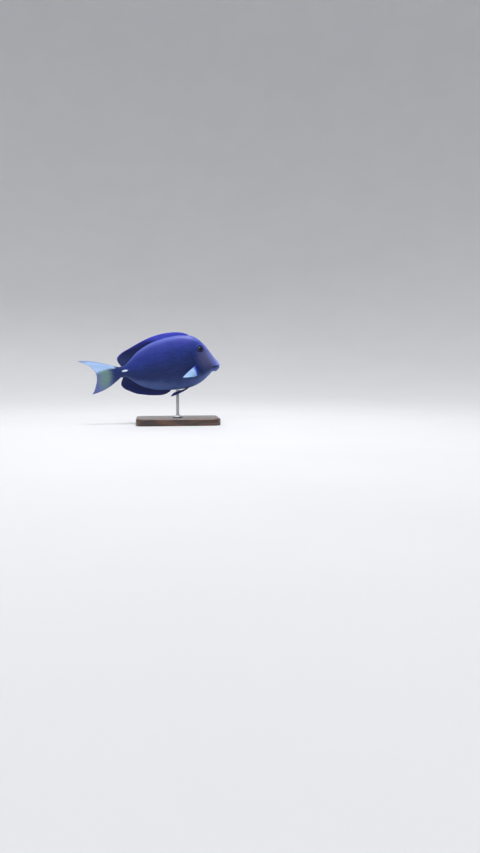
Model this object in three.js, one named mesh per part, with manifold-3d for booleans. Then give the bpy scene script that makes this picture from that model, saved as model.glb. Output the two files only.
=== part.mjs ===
// An Atlantic blue tang, a deep-bodied surgeonfish, as a still, life-size model on a display stand.
// Millimetres, +Z up. The origin is the middle of the stand's underside, and the fish looks along +X.
//
// The fish is shaped straight and level in a frame of its own, where x runs forward from the root of the
// tail fin, y to its left and z up. It is then swung a little at the tail, tipped nose up and set on its
// rod.
import * as THREE from "three";
import { ParametricGeometry } from "three/addons/geometries/ParametricGeometry.js";
import { mergeVertices } from "three/addons/utils/BufferGeometryUtils.js";
import Module from "manifold-3d";

const wasm = await Module();
wasm.setup();

// Driving dimensions of the fish. LENGTH is its standard length, from the snout to the root of the tail
// fin.
const LENGTH = 164;
const GAP = 0.3;
const NOSE_UP = THREE.MathUtils.degToRad(10);
const TAIL_SWING = 4.5;
const SWING_STARTS = 0.42 * LENGTH;

// Outlines of the body as [place along it, height], both as shares of LENGTH.
const BACK = [
  [-0.03, 0.049], [0.03, 0.051], [0.07, 0.06], [0.12, 0.096], [0.2, 0.16], [0.32, 0.217],
  [0.45, 0.247], [0.58, 0.258], [0.7, 0.25], [0.8, 0.211], [0.885, 0.113], [0.945, -0.004],
  [0.965, -0.036], [0.984, -0.066], [1, -0.096],
];
const BELLY = [
  [-0.03, -0.056], [0.03, -0.059], [0.07, -0.07], [0.12, -0.119], [0.2, -0.182], [0.32, -0.236],
  [0.45, -0.262], [0.6, -0.276], [0.7, -0.268], [0.8, -0.233], [0.87, -0.186], [0.902, -0.161],
  [0.92, -0.154], [0.945, -0.157], [0.965, -0.15], [0.98, -0.134], [0.989, -0.117], [1, -0.105],
];
const HALF_WIDTH = [
  [-0.03, 0.009], [0.03, 0.018], [0.08, 0.023], [0.15, 0.035], [0.3, 0.06], [0.45, 0.078], [0.6, 0.087],
  [0.72, 0.089], [0.8, 0.082], [0.87, 0.065], [0.93, 0.041], [0.965, 0.0275], [1, 0.017],
];
const FLANK_SHAPE = 1.12;
const NOSE_ROUNDING = 0.022 * LENGTH;

// The gill cover's rear edge, which parts head and torso, from above the nape to below the breast.
const GILL_EDGE = [
  [0.757, 0.3], [0.745, 0.12], [0.733, 0.045], [0.735, -0.01], [0.75, -0.055],
  [0.778, -0.093], [0.802, -0.13], [0.812, -0.18], [0.82, -0.26], [0.825, -0.32],
];
const GILL = { step: 1, fades_over: 18 };
const PEDUNCLE_START = 0.115 * LENGTH;

const EYE = { x: 0.828, z: 0.085, radius: 0.0345, depth: 0.022, bulge: 0.0065 };
const EYE_RING = { stands_out: 0.0022, tube: 0.0048 };
const MOUTH = {
  corner: [0.927, -0.104], front: [1.02, -0.1215], below: -0.2,
  hinge: [[0.919, -0.11], [0.913, -0.124], [0.902, -0.162]],
};
const LIPS = { proud: 0.9, from_line: 2.1, width: 1.7 };
const NOSTRILS = [
  { x: 0.874, z: 0.072, radius: 0.85 },
  { x: 0.886, z: 0.05, radius: 1.1 },
];
const SCALPEL = { x: 0.057, z: 0.002, length: 0.063, height: 0.0195, thickness: 0.014 };

// Fins. A margin is a curve through the tips of the rays, as shares of LENGTH.
const RAY = { membrane: 0.55, root: 1.2, ridge: 0.45, tip: 0.5 };
const DORSAL = {
  spines: 9, rays: 27, root: [0.735, 0.036], sink: 2.2, rake: 0.35,
  margin: [
    [0.742, 0.245], [0.7, 0.271], [0.64, 0.29], [0.565, 0.301], [0.465, 0.3], [0.362, 0.286], [0.256, 0.256],
    [0.148, 0.216], [0.06, 0.183], [0.012, 0.15], [0.001, 0.122], [0.008, 0.09],
  ],
};
const ANAL = {
  spines: 3, rays: 25, root: [0.47, 0.036], sink: 2.2, rake: 0.3,
  margin: [
    [0.472, -0.268], [0.445, -0.286], [0.41, -0.296], [0.36, -0.299], [0.26, -0.282], [0.166, -0.255],
    [0.118, -0.237], [0.07, -0.208], [0.024, -0.176], [0, -0.145], [-0.004, -0.12], [0.008, -0.09],
  ],
};
const TAIL_LOBES = {
  upper: {
    root: [0.012, 0.046], bulge: 0.02, skew: 1.35, curl: 6.5,
    tips: [[-0.378, 0.174], [-0.32, 0.138], [-0.273, 0.104], [-0.232, 0.051], [-0.221, 0.002]],
  },
  lower: {
    root: [0.012, -0.052], bulge: 0.026, skew: 1, curl: 3.5,
    tips: [[-0.297, -0.172], [-0.272, -0.14], [-0.253, -0.106], [-0.229, -0.049], [-0.221, 0]],
  },
};
const TAIL_RAYS_A_LOBE = 8;
// The swelling of the body under the pectoral fin's root.
const SHOULDER = { z: -0.117, proud: 0.9, length: 5, height: 9 };
// The paired fins' rays grow from a short root line, and reach outwards by the two amounts given, from the
// first ray to the last.
const PECTORAL = {
  rays: 16, root: [[0.753, -0.068], [0.747, -0.17]], sink: 2.4, outwards: [0.172, 0.095],
  margin: [[0.594, -0.158], [0.623, -0.164], [0.653, -0.167], [0.684, -0.169], [0.707, -0.172]],
};
const PELVIC = {
  rays: 6, root: [0.668, 0.642], beside: 0.02, sink: 3.6, drop: 0.03, outwards: [0.044, 0.022],
  margin: [[0.452, -0.331], [0.464, -0.32], [0.49, -0.301], [0.525, -0.288], [0.56, -0.284]],
};

// The stand.
const BASE = { length: 136, width: 84, thickness: 11, corner: 12, bevel: 1.6 };
const ROD = { radius: 2.5, at: 0.535 * LENGTH, visible: 46, inside: 13, collar: 8, collar_height: 4 };

// A smooth function through [place, value] pairs whose places rise.
function smoothThrough(points) {
  const slopes = points.map((_, i) => {
    const before = points[Math.max(i - 1, 0)];
    const after = points[Math.min(i + 1, points.length - 1)];
    return (after[1] - before[1]) / (after[0] - before[0]);
  });
  return (place) => {
    const next = points.findIndex((point) => point[0] > place);
    const i = next < 0 ? points.length - 2 : Math.max(next - 1, 0);
    const span = points[i + 1][0] - points[i][0];
    const t = THREE.MathUtils.clamp((place - points[i][0]) / span, 0, 1);
    const rise = t * t * (3 - 2 * t);
    const bend = t * (1 - t) * span * ((1 - t) * slopes[i] - t * slopes[i + 1]);
    return THREE.MathUtils.lerp(points[i][1], points[i + 1][1], rise) + bend;
  };
}

const backShare = smoothThrough(BACK);
const bellyShare = smoothThrough(BELLY);
const widthShare = smoothThrough(HALF_WIDTH);
const gillShare = smoothThrough(GILL_EDGE.map(([x, z]) => [-z, x]));

const back = (x) => LENGTH * backShare(x / LENGTH);
const belly = (x) => LENGTH * bellyShare(x / LENGTH);
const gillEdge = (z) => LENGTH * gillShare(-z / LENGTH);

function halfWidth(x) {
  const past = THREE.MathUtils.clamp((x - LENGTH + NOSE_ROUNDING) / NOSE_ROUNDING, 0, 1);
  return LENGTH * widthShare(x / LENGTH) * Math.sqrt(1 - 0.97 * past * past);
}

const bell = (distance, width) => Math.exp(-((distance / width) ** 2));
const ramp = (value, from, to) => THREE.MathUtils.smoothstep(value, from, to);
const along = (share) => share * LENGTH;

// How far the skin stands proud of the smooth flank at a place on its side. The gill cover belongs to the
// head, and its edge steps down to the torso.
function relief(x, z, covered) {
  const ahead = Math.max(x - gillEdge(z), 0);
  const gill_level = ramp(z, along(-0.2), along(-0.13)) * (1 - ramp(z, along(0.02), along(0.09)));
  const gill = covered ? GILL.step * gill_level * Math.exp(-ahead / GILL.fades_over) : 0;
  const mouth_slope = (MOUTH.front[1] - MOUTH.corner[1]) / (MOUTH.front[0] - MOUTH.corner[0]);
  const mouth_line = along(MOUTH.corner[1]) + (x - along(MOUTH.corner[0])) * mouth_slope;
  const lip = bell(Math.abs(z - mouth_line) - LIPS.from_line, LIPS.width);
  const lips = LIPS.proud * ramp(x, along(0.945), along(0.975)) * lip;
  const beside_root = bell(x - along(PECTORAL.root[0][0]), SHOULDER.length);
  const shoulder = SHOULDER.proud * beside_root * bell(z - along(SHOULDER.z), SHOULDER.height);
  return gill + lips + shoulder;
}

// A point of the skin at place x, where turn runs once round the section from the back. The points lie
// closer together on the flanks than along the two edges.
function skinPoint(x, turn, shrink, covered, target) {
  const angle = turn * 2 * Math.PI + 0.2 * Math.sin(turn * 4 * Math.PI);
  const top = back(x);
  const bottom = belly(x);
  const middle = (top + bottom) / 2;
  const z = middle + ((top - bottom) / 2) * Math.cos(angle) * shrink;
  const side = Math.sin(angle);
  const flank = Math.abs(side) ** FLANK_SHAPE;
  const y = Math.sign(side) * flank * (halfWidth(x) + relief(x, z, covered)) * shrink;
  return target.set(x, Math.abs(side) < 1e-6 ? 0 : y, z);
}

// Places of the sections along the body, closer together where its form changes faster.
function spread(from, to, steps, ease = (t) => t) {
  return Array.from({ length: steps }, (_, i) => from + (to - from) * ease(i / steps));
}
const STATIONS = [
  ...spread(along(-0.02), along(0.12), 7),
  ...spread(along(0.12), along(0.7), 15),
  ...spread(along(0.7), along(0.93), 17),
  ...spread(along(0.93), along(1), 11, (t) => Math.sin((t * Math.PI) / 2)),
  along(1),
];
const ROUND = 44;

// The closed skin of the whole fish, drawn to a point at each end, with its gill covers or without them.
function bodyGeometry(covered) {
  const last = STATIONS.length + 1;
  const at = (u, v, target) => {
    const i = Math.round(u * last);
    const x = STATIONS[THREE.MathUtils.clamp(i - 1, 0, STATIONS.length - 1)];
    return skinPoint(x, v, i === 0 || i === last ? 0 : 1, covered, target);
  };
  return new ParametricGeometry(at, last, ROUND);
}

// The same vertices, each moved outwards by a distance along its normal.
function grown(geometry, distance) {
  const merged = welded(geometry);
  merged.computeVertexNormals();
  const place = merged.getAttribute("position");
  const normal = merged.getAttribute("normal");
  const outwards = solid(geometry).flipped ? -distance : distance;
  for (let i = 0; i < place.count; i++) {
    place.setXYZ(
      i,
      place.getX(i) + normal.getX(i) * outwards,
      place.getY(i) + normal.getY(i) * outwards,
      place.getZ(i) + normal.getZ(i) * outwards,
    );
  }
  return merged;
}

// One vertex for each place, and no triangle that has lost its area.
function welded(geometry) {
  const bare = new THREE.BufferGeometry();
  bare.setAttribute("position", geometry.getAttribute("position").clone());
  bare.setIndex(geometry.index);
  const merged = mergeVertices(bare, 1e-4);
  const corners = merged.index.array;
  const kept = [];
  for (let i = 0; i < corners.length; i += 3) {
    const [a, b, c] = corners.slice(i, i + 3);
    if (a !== b && b !== c && c !== a) kept.push(a, b, c);
  }
  merged.setIndex(kept);
  return merged;
}

// A closed geometry as a solid that booleans work on, with its faces turned outwards.
function solid(geometry) {
  const merged = welded(geometry);
  const make = (triVerts) =>
    new wasm.Manifold(
      new wasm.Mesh({ numProp: 3, vertProperties: merged.getAttribute("position").array, triVerts }),
    );
  const corners = new Uint32Array(merged.index.array);
  let body = make(corners);
  const flipped = body.volume() < 0;
  if (flipped) body = make(corners.reverse());
  body.flipped = flipped;
  return body;
}

// The largest closed surface of a solid, as a geometry.
function geometryOf(body) {
  const pieces = body.decompose();
  const largest = pieces.reduce((a, b) => (a.volume() > b.volume() ? a : b));
  const mesh = largest.getMesh();
  const geometry = new THREE.BufferGeometry();
  geometry.setAttribute("position", new THREE.BufferAttribute(new Float32Array(mesh.vertProperties), 3));
  geometry.setIndex(new THREE.BufferAttribute(new Uint32Array(mesh.triVerts), 1));
  geometry.computeVertexNormals();
  return geometry;
}

// How far to each side a cut reaches, which is past all of the fish.
const CUT_REACH = 60;

// A prism through the whole width of the fish, from an outline of [x, z] points seen from its side.
function sidePrism(outline) {
  const shape = new THREE.Shape(outline.map(([x, z]) => new THREE.Vector2(x, z)));
  const geometry = new THREE.ExtrudeGeometry(shape, { depth: 2 * CUT_REACH, bevelEnabled: false });
  geometry.rotateX(Math.PI / 2);
  geometry.translate(0, CUT_REACH, 0);
  return solid(geometry);
}

// A smooth curve in the side view through shares of LENGTH.
function sideCurve(points) {
  return new THREE.SplineCurve(points.map(([x, z]) => new THREE.Vector2(along(x), along(z))));
}

const UPWARDS = new THREE.Vector3(0, 0, 1);

// An ellipsoid with its middle at a point and its thin way along a direction.
function ellipsoid(centre, radii, facing, turns = 20, bands = 10) {
  const geometry = new THREE.SphereGeometry(1, turns, bands);
  geometry.rotateX(Math.PI / 2);
  geometry.scale(...radii);
  geometry.applyQuaternion(new THREE.Quaternion().setFromUnitVectors(UPWARDS, facing));
  geometry.translate(centre.x, centre.y, centre.z);
  return geometry;
}

// The skin's point and outward direction on one side, 1 for left and -1 for right.
function onFlank(x, z, side, covered = false) {
  const point = (px, pz) => {
    const top = back(px);
    const bottom = belly(px);
    const level = THREE.MathUtils.clamp((2 * pz - top - bottom) / (top - bottom), -1, 1);
    const flank = Math.sqrt(1 - level * level) ** FLANK_SHAPE;
    return new THREE.Vector3(px, side * flank * (halfWidth(px) + relief(px, pz, covered)), pz);
  };
  const here = point(x, z);
  const forward = point(x + 0.5, z).sub(point(x - 0.5, z));
  const up = point(x, z + 0.5).sub(point(x, z - 0.5));
  const out = forward.cross(up).normalize();
  return { point: here, out: out.y * side < 0 ? out.negate() : out };
}

// Head and torso part along the gill cover's edge, and the tail stalk behind an upright cut.
function gillOutline(offset) {
  const curve = sideCurve(GILL_EDGE);
  const steps = 26;
  const edge = Array.from({ length: steps + 1 }, (_, i) => {
    const place = curve.getPointAt(i / steps);
    const way = curve.getTangentAt(i / steps);
    return [place.x - way.y * offset, place.y + way.x * offset];
  });
  return [...edge, [along(1.2), along(-0.32)], [along(1.2), along(0.3)]];
}

const headSkin = bodyGeometry(true);
const trunkSkin = bodyGeometry(false);

function halfSpaceBehind(x) {
  return sidePrism([[x, -100], [x, 100], [-100, 100], [-100, -100]]);
}

const SIDES = { left: 1, right: -1 };

function eyeball(side, extra) {
  const seat = onFlank(along(EYE.x), along(EYE.z), side, true);
  const radius = along(EYE.radius) + extra;
  const depth = along(EYE.depth) + extra;
  const centre = seat.point.clone().addScaledVector(seat.out, along(EYE.bulge) - along(EYE.depth));
  return ellipsoid(centre, [radius, radius, depth], seat.out);
}

// The ring of skin round the eye.
function eyeRing(side) {
  const seat = onFlank(along(EYE.x), along(EYE.z), side, true);
  const tube = along(EYE_RING.tube);
  const geometry = new THREE.TorusGeometry(along(EYE.radius) + tube * 0.6, tube, 8, 24);
  geometry.applyQuaternion(new THREE.Quaternion().setFromUnitVectors(UPWARDS, seat.out));
  geometry.translate(...seat.point.addScaledVector(seat.out, along(EYE_RING.stands_out) - tube));
  return geometry;
}

function nostril(side, { x, z, radius }) {
  const seat = onFlank(along(x), along(z), side, true);
  return ellipsoid(seat.point, [radius, radius, radius * 1.2], seat.out, 10, 6);
}

// The folded spine on the tail stalk, laid along the flank and half sunk into it.
function scalpel(side, extra) {
  const seat = onFlank(along(SCALPEL.x), along(SCALPEL.z), side);
  const half = [SCALPEL.length, SCALPEL.height, SCALPEL.thickness].map((size) => along(size) / 2 + extra);
  const geometry = new THREE.SphereGeometry(1, 14, 8);
  geometry.rotateZ(Math.PI / 2);
  geometry.scale(...half);
  geometry.rotateX(Math.PI / 2);
  const sideways = new THREE.Vector3(0, side, 0);
  geometry.applyQuaternion(new THREE.Quaternion().setFromUnitVectors(sideways, seat.out));
  geometry.translate(...seat.point);
  return geometry;
}

// The lower jaw seen from the side: under the mouth line, and ahead of a bent seam from its corner to the
// chin.
function lowerJawOutline(offset) {
  const { corner, front, hinge, below } = MOUTH;
  return [
    [along(front[0]), along(below)],
    [along(front[0]), along(front[1]) + offset],
    [along(corner[0]), along(corner[1]) + offset],
    ...hinge.map(([x, z]) => [along(x) - offset, along(z)]),
    [along(hinge.at(-1)[0]) - offset, along(below)],
  ];
}

// A thin closed sheet: its middle surface and half thickness are given over u and v from 0 to 1, and both of
// its faces are split into triangles alike.
function sheet(columns, rows, middle, halfThickness) {
  const places = [];
  const corners = [];
  const step = 0.5 / Math.max(columns, rows);
  const across = new THREE.Vector3();
  for (const face of [1, -1]) {
    for (let i = 0; i <= columns; i++) {
      for (let j = 0; j <= rows; j++) {
        const u = i / columns;
        const v = j / rows;
        const du = middle(Math.min(u + step, 1), v).sub(middle(Math.max(u - step, 0), v));
        const dv = middle(u, Math.min(v + step, 1)).sub(middle(u, Math.max(v - step, 0)));
        across.crossVectors(du, dv).normalize();
        places.push(...middle(u, v).addScaledVector(across, face * halfThickness(u, v, i, j)));
      }
    }
  }
  const each = (columns + 1) * (rows + 1);
  const at = (i, j, back_face) => i * (rows + 1) + j + (back_face ? each : 0);
  const quad = (a, b, c, d) => corners.push(a, b, c, a, c, d);
  for (let i = 0; i < columns; i++) {
    for (let j = 0; j < rows; j++) {
      quad(at(i, j), at(i + 1, j), at(i + 1, j + 1), at(i, j + 1));
      const [a, b, c, d] = [at(i, j, 1), at(i + 1, j, 1), at(i + 1, j + 1, 1), at(i, j + 1, 1)];
      corners.push(a, c, b, a, d, c);
    }
  }
  for (let i = 0; i < columns; i++) {
    quad(at(i, 0, 1), at(i + 1, 0, 1), at(i + 1, 0), at(i, 0));
    quad(at(i, rows), at(i + 1, rows), at(i + 1, rows, 1), at(i, rows, 1));
  }
  for (let j = 0; j < rows; j++) {
    quad(at(0, j), at(0, j + 1), at(0, j + 1, 1), at(0, j, 1));
    quad(at(columns, j, 1), at(columns, j + 1, 1), at(columns, j + 1), at(columns, j));
  }
  const geometry = new THREE.BufferGeometry();
  geometry.setAttribute("position", new THREE.Float32BufferAttribute(places, 3));
  geometry.setIndex(corners);
  return geometry;
}

// Half the thickness of a fin at a place: every other column is a ray, which stands proud of the membrane.
function rayedThickness(spines = 0) {
  return (u, v, column) => {
    const is_ray = column % 2 === 0;
    const is_spine = column < spines * 2;
    const plain = THREE.MathUtils.lerp(RAY.root, RAY.membrane, ramp(v, 0, 0.35));
    const ridge = is_ray ? RAY.ridge * (is_spine ? 1.7 : 1) * (1 - v * 0.75) : 0;
    return Math.max((plain + ridge) / 2, RAY.tip / 2);
  };
}

// A fin along the midline, with its spines' tips a little past the membrane between them.
function midlineFin({ spines, rays, root, sink, rake, margin }, edge, sign) {
  const count = spines + rays;
  const columns = (count - 1) * 2;
  const tips = sideCurve(margin);
  const middle = (u, v) => {
    const x = THREE.MathUtils.lerp(along(root[0]), along(root[1]), u);
    const from = new THREE.Vector2(x, edge(x) - sign * sink);
    const to = tips.getPointAt(Math.min(u + rake * u * (1 - u), 1));
    const place = from.lerp(to, v);
    return new THREE.Vector3(place.x, 0, place.y);
  };
  const notched = (u, v) => {
    const column = Math.round(u * columns);
    const between_spines = column % 2 === 1 && column < spines * 2;
    return middle(u, between_spines ? v * 0.88 : v);
  };
  return sheet(columns, 3, notched, rayedThickness(spines));
}

// One lobe of the tail fin. Its rays fan from the tail stalk, the outermost along its sickle edge.
function tailLobe({ root, bulge, skew, curl, tips }) {
  const tip_curve = sideCurve(tips);
  const highest = Math.abs(along(tips[0][1]));
  const columns = TAIL_RAYS_A_LOBE * 2;
  const sign = Math.sign(root[1]);
  const middle = (u, v) => {
    const from = new THREE.Vector2(along(root[0]), along(root[1]) * (1 - u) + sign * (GAP / 2) * u);
    const to = tip_curve.getPointAt(u);
    to.y += sign * (GAP / 2) * u;
    const place = from.lerp(to, v);
    place.y += sign * along(bulge) * (1 - u) ** 2 * Math.sin(Math.PI * v ** skew);
    const lean = curl * Math.abs(place.y / highest) ** 1.6 * v ** 1.2;
    return new THREE.Vector3(place.x, lean, place.y);
  };
  return sheet(columns, 8, middle, rayedThickness());
}

// A pectoral fin, held out and back from the flank like a wing in its downstroke.
function pectoralFin(side) {
  const { rays, root, sink, outwards, margin } = PECTORAL;
  const columns = (rays - 1) * 2;
  const tips = sideCurve(margin);
  const middle = (u, v) => {
    const x = along(THREE.MathUtils.lerp(root[0][0], root[1][0], u));
    const z = along(THREE.MathUtils.lerp(root[0][1], root[1][1], u));
    const tip = tips.getPointAt(u);
    const reach = side * along(THREE.MathUtils.lerp(...outwards, u));
    const ray = new THREE.Vector3(tip.x - x, reach, tip.y - z);
    const start = onFlank(x, z, side).point.addScaledVector(ray.clone().normalize(), -sink);
    return start.addScaledVector(ray, v * (1 + sink / ray.length()));
  };
  return sheet(columns, 5, middle, rayedThickness());
}

// A pelvic fin, laid back beside the belly, with its spine outermost. Its rays drop clear of the belly
// before they bend back.
function pelvicFin(side) {
  const { rays, root, beside, sink, drop, outwards, margin } = PELVIC;
  const columns = (rays - 1) * 2;
  const tips = sideCurve(margin);
  const middle = (u, v) => {
    const x = along(THREE.MathUtils.lerp(...root, u));
    const y = along(beside) * (1 - 0.35 * u);
    const tip = tips.getPointAt(u);
    const ray = new THREE.QuadraticBezierCurve3(
      new THREE.Vector3(x, side * y, belly(x) + sink),
      new THREE.Vector3(x - along(drop), side * (y + 1), belly(x) - along(drop) * (1 - 0.4 * u)),
      new THREE.Vector3(tip.x, side * (y + along(THREE.MathUtils.lerp(...outwards, u))), tip.y),
    );
    return ray.getPoint(v);
  };
  return sheet(columns, 7, middle, rayedThickness(1));
}

// The fish's own frame, tipped nose up, and set so that the rod meets the belly over the origin.
const fish = new THREE.Group();
fish.rotation.y = -NOSE_UP;
const seatOnBelly = new THREE.Vector3(ROD.at, 0, belly(ROD.at)).applyEuler(fish.rotation);
fish.position.set(-seatOnBelly.x, 0, BASE.thickness + ROD.visible - seatOnBelly.z);
fish.updateMatrix();

const rodTop = BASE.thickness + ROD.visible + ROD.inside;

function rodSocket() {
  const geometry = new THREE.CylinderGeometry(ROD.radius + GAP, ROD.radius + GAP, 60, 24);
  geometry.rotateX(Math.PI / 2);
  geometry.translate(0, 0, rodTop + GAP - 30);
  geometry.applyMatrix4(fish.matrix.clone().invert());
  return solid(geometry);
}

// The swing of the tail to the fish's right, which grows from the middle of the body backwards.
function swung(geometry) {
  const place = geometry.getAttribute("position");
  for (let i = 0; i < place.count; i++) {
    const behind = Math.max(SWING_STARTS - place.getX(i), 0) / SWING_STARTS;
    place.setY(i, place.getY(i) - TAIL_SWING * behind * behind);
  }
  geometry.computeVertexNormals();
  return geometry;
}

function material(color, roughness, metalness = 0) {
  return new THREE.MeshStandardMaterial({ color, roughness, metalness });
}
const MATERIALS = {
  skin: material(0x3d4a8c, 0.45),
  fin: material(0x2b3560, 0.5),
  tail: material(0xb9c3b4, 0.5),
  pale_fin: material(0xdfe8ee, 0.4),
  eye: material(0x10131f, 0.1),
  scalpel: material(0xf2f2e2, 0.35),
  wood: material(0x3a241a, 0.4),
  steel: material(0xb8bcc2, 0.3, 1),
};

function addTo(group, name, geometry, made_of) {
  const mesh = new THREE.Mesh(geometry, made_of);
  mesh.name = name;
  group.add(mesh);
}

// Head, lower jaw, torso and tail stalk, parted from the two skins.
const covered = solid(headSkin).intersect(sidePrism(gillOutline(GAP / 2)));
const trunk = solid(trunkSkin).subtract(sidePrism(gillOutline(-GAP / 2)));
const lowerJaw = covered.intersect(sidePrism(lowerJawOutline(0)));
let head = covered.subtract(sidePrism(lowerJawOutline(GAP)));
let tailStalk = trunk.intersect(halfSpaceBehind(PEDUNCLE_START - GAP / 2));
for (const side of Object.values(SIDES)) {
  head = head.add(solid(eyeRing(side))).subtract(solid(eyeball(side, GAP)));
  for (const pit of NOSTRILS) head = head.subtract(solid(nostril(side, pit)));
  tailStalk = tailStalk.subtract(solid(scalpel(side, GAP)));
}
const torso = trunk.subtract(halfSpaceBehind(PEDUNCLE_START + GAP / 2)).subtract(rodSocket());

addTo(fish, "head", geometryOf(head), MATERIALS.skin);
addTo(fish, "lower_jaw", geometryOf(lowerJaw), MATERIALS.skin);
addTo(fish, "torso", swung(geometryOf(torso)), MATERIALS.skin);
addTo(fish, "tail_stalk", swung(geometryOf(tailStalk)), MATERIALS.skin);

// A fin without the part of its root that would reach into the flesh or touch it.
const headWithGap = solid(grown(headSkin, GAP)).intersect(sidePrism(gillOutline(-GAP)));
const fleshWithGap = solid(grown(trunkSkin, GAP)).add(headWithGap);
const seated = (geometry) => geometryOf(solid(geometry).subtract(fleshWithGap));
addTo(fish, "dorsal_fin", swung(seated(midlineFin(DORSAL, back, 1))), MATERIALS.fin);
addTo(fish, "anal_fin", swung(seated(midlineFin(ANAL, belly, -1))), MATERIALS.fin);
for (const [name, lobe] of Object.entries(TAIL_LOBES)) {
  addTo(fish, `tail_fin_${name}`, swung(seated(tailLobe(lobe))), MATERIALS.tail);
}
for (const [name, side] of Object.entries(SIDES)) {
  addTo(fish, `pectoral_fin_${name}`, seated(pectoralFin(side)), MATERIALS.pale_fin);
  addTo(fish, `pelvic_fin_${name}`, seated(pelvicFin(side)), MATERIALS.fin);
  addTo(fish, `eye_${name}`, welded(eyeball(side, 0)), MATERIALS.eye);
  addTo(fish, `scalpel_${name}`, swung(welded(scalpel(side, 0))), MATERIALS.scalpel);
}

// The base is a plain plinth with rounded corners and softened edges.
function baseGeometry() {
  const { length, width, thickness, corner, bevel } = BASE;
  const half_x = length / 2 - bevel;
  const half_y = width / 2 - bevel;
  const shape = new THREE.Shape();
  shape.moveTo(-half_x + corner, -half_y);
  shape.lineTo(half_x - corner, -half_y);
  shape.absarc(half_x - corner, -half_y + corner, corner, -Math.PI / 2, 0);
  shape.absarc(half_x - corner, half_y - corner, corner, 0, Math.PI / 2);
  shape.absarc(-half_x + corner, half_y - corner, corner, Math.PI / 2, Math.PI);
  shape.absarc(-half_x + corner, -half_y + corner, corner, Math.PI, Math.PI * 1.5);
  const geometry = new THREE.ExtrudeGeometry(shape, {
    depth: thickness - 2 * bevel,
    bevelThickness: bevel,
    bevelSize: bevel,
    bevelSegments: 2,
    curveSegments: 6,
  });
  geometry.translate(0, 0, bevel);
  return geometry;
}

// The rod, with a turned collar where it stands on the base and a softened tip inside the fish.
function rodGeometry() {
  const foot = BASE.thickness + GAP;
  const { radius, collar, collar_height } = ROD;
  const profile = [
    [0, foot],
    [collar, foot],
    [collar, foot + collar_height * 0.35],
    [collar * 0.86, foot + collar_height * 0.6],
    [radius * 1.5, foot + collar_height * 0.75],
    [radius * 1.15, foot + collar_height],
    [radius, foot + collar_height * 1.5],
    [radius, rodTop - 1],
    [radius - 0.8, rodTop],
    [0, rodTop],
  ];
  const geometry = new THREE.LatheGeometry(profile.map(([r, z]) => new THREE.Vector2(r, z)), 24);
  geometry.rotateX(Math.PI / 2);
  return geometry;
}

const model = new THREE.Group();
model.add(fish);
addTo(model, "stand_base", geometryOf(solid(baseGeometry())), MATERIALS.wood);
addTo(model, "stand_rod", geometryOf(solid(rodGeometry())), MATERIALS.steel);

export default model;
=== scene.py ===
import math
from bisect import bisect_right
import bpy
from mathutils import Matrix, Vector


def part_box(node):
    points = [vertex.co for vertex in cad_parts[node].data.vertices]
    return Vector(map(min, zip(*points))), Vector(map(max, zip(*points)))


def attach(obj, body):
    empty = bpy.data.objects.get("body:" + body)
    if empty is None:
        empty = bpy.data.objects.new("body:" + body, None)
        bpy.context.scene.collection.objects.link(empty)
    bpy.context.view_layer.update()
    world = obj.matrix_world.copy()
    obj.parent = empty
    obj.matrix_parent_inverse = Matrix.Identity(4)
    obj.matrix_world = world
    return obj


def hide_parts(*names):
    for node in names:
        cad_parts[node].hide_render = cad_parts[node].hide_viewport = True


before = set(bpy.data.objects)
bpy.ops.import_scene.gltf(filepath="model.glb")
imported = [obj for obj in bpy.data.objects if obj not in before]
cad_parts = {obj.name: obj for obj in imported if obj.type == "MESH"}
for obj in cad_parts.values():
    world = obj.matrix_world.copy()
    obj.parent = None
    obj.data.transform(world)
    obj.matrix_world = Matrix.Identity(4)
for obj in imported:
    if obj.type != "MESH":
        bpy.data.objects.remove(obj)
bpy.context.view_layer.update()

from types import SimpleNamespace as Sizes

import bmesh
import bpy
from bpy.props import FloatProperty, FloatVectorProperty, IntProperty, PointerProperty
from mathutils import Matrix, Vector

bl_info = {
    "name": "Blue tang museum model",
    "version": (1, 0, 0),
    "blender": (4, 5, 0),
    "location": "View3D > Sidebar > Blue tang",
    "description": "Builds the painted skin, rayed fins, eyes, spines and stand of a life-size blue tang",
    "category": "Add Mesh",
}

BASE_LOW, BASE_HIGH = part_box("stand_base")
ROD_LOW, ROD_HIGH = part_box("stand_rod")
ROD_RADIUS = 0.0025
TAU = 2 * math.pi

# The fish's own frame has x forward from the root of the tail fin, y to its left and z up. Every size in
# it is a share of the fish's standard length, from snout to tail fin root.
BACK = [
    (-0.03, 0.049), (0.03, 0.051), (0.07, 0.06), (0.12, 0.096), (0.2, 0.16), (0.32, 0.217), (0.45, 0.247),
    (0.58, 0.258), (0.7, 0.25), (0.8, 0.211), (0.885, 0.113), (0.945, -0.004), (0.965, -0.036),
    (0.984, -0.066), (1, -0.096),
]
BELLY = [
    (-0.03, -0.056), (0.03, -0.059), (0.07, -0.07), (0.12, -0.119), (0.2, -0.182), (0.32, -0.236),
    (0.45, -0.262), (0.6, -0.276), (0.7, -0.268), (0.8, -0.233), (0.87, -0.186), (0.902, -0.161),
    (0.92, -0.154), (0.945, -0.157), (0.965, -0.15), (0.98, -0.134), (0.989, -0.117), (1, -0.105),
]
HALF_WIDTH = [
    (-0.052, 0.0024), (-0.025, 0.0075), (0.03, 0.018), (0.08, 0.023), (0.15, 0.035), (0.3, 0.06),
    (0.45, 0.078), (0.6, 0.087), (0.72, 0.089), (0.8, 0.082), (0.87, 0.065), (0.93, 0.041),
    (0.965, 0.0275), (1, 0.017),
]
GILL_EDGE = [
    (0.757, 0.3), (0.745, 0.12), (0.733, 0.045), (0.735, -0.01), (0.75, -0.055), (0.778, -0.093),
    (0.802, -0.13), (0.812, -0.18), (0.82, -0.26), (0.825, -0.32),
]
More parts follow.
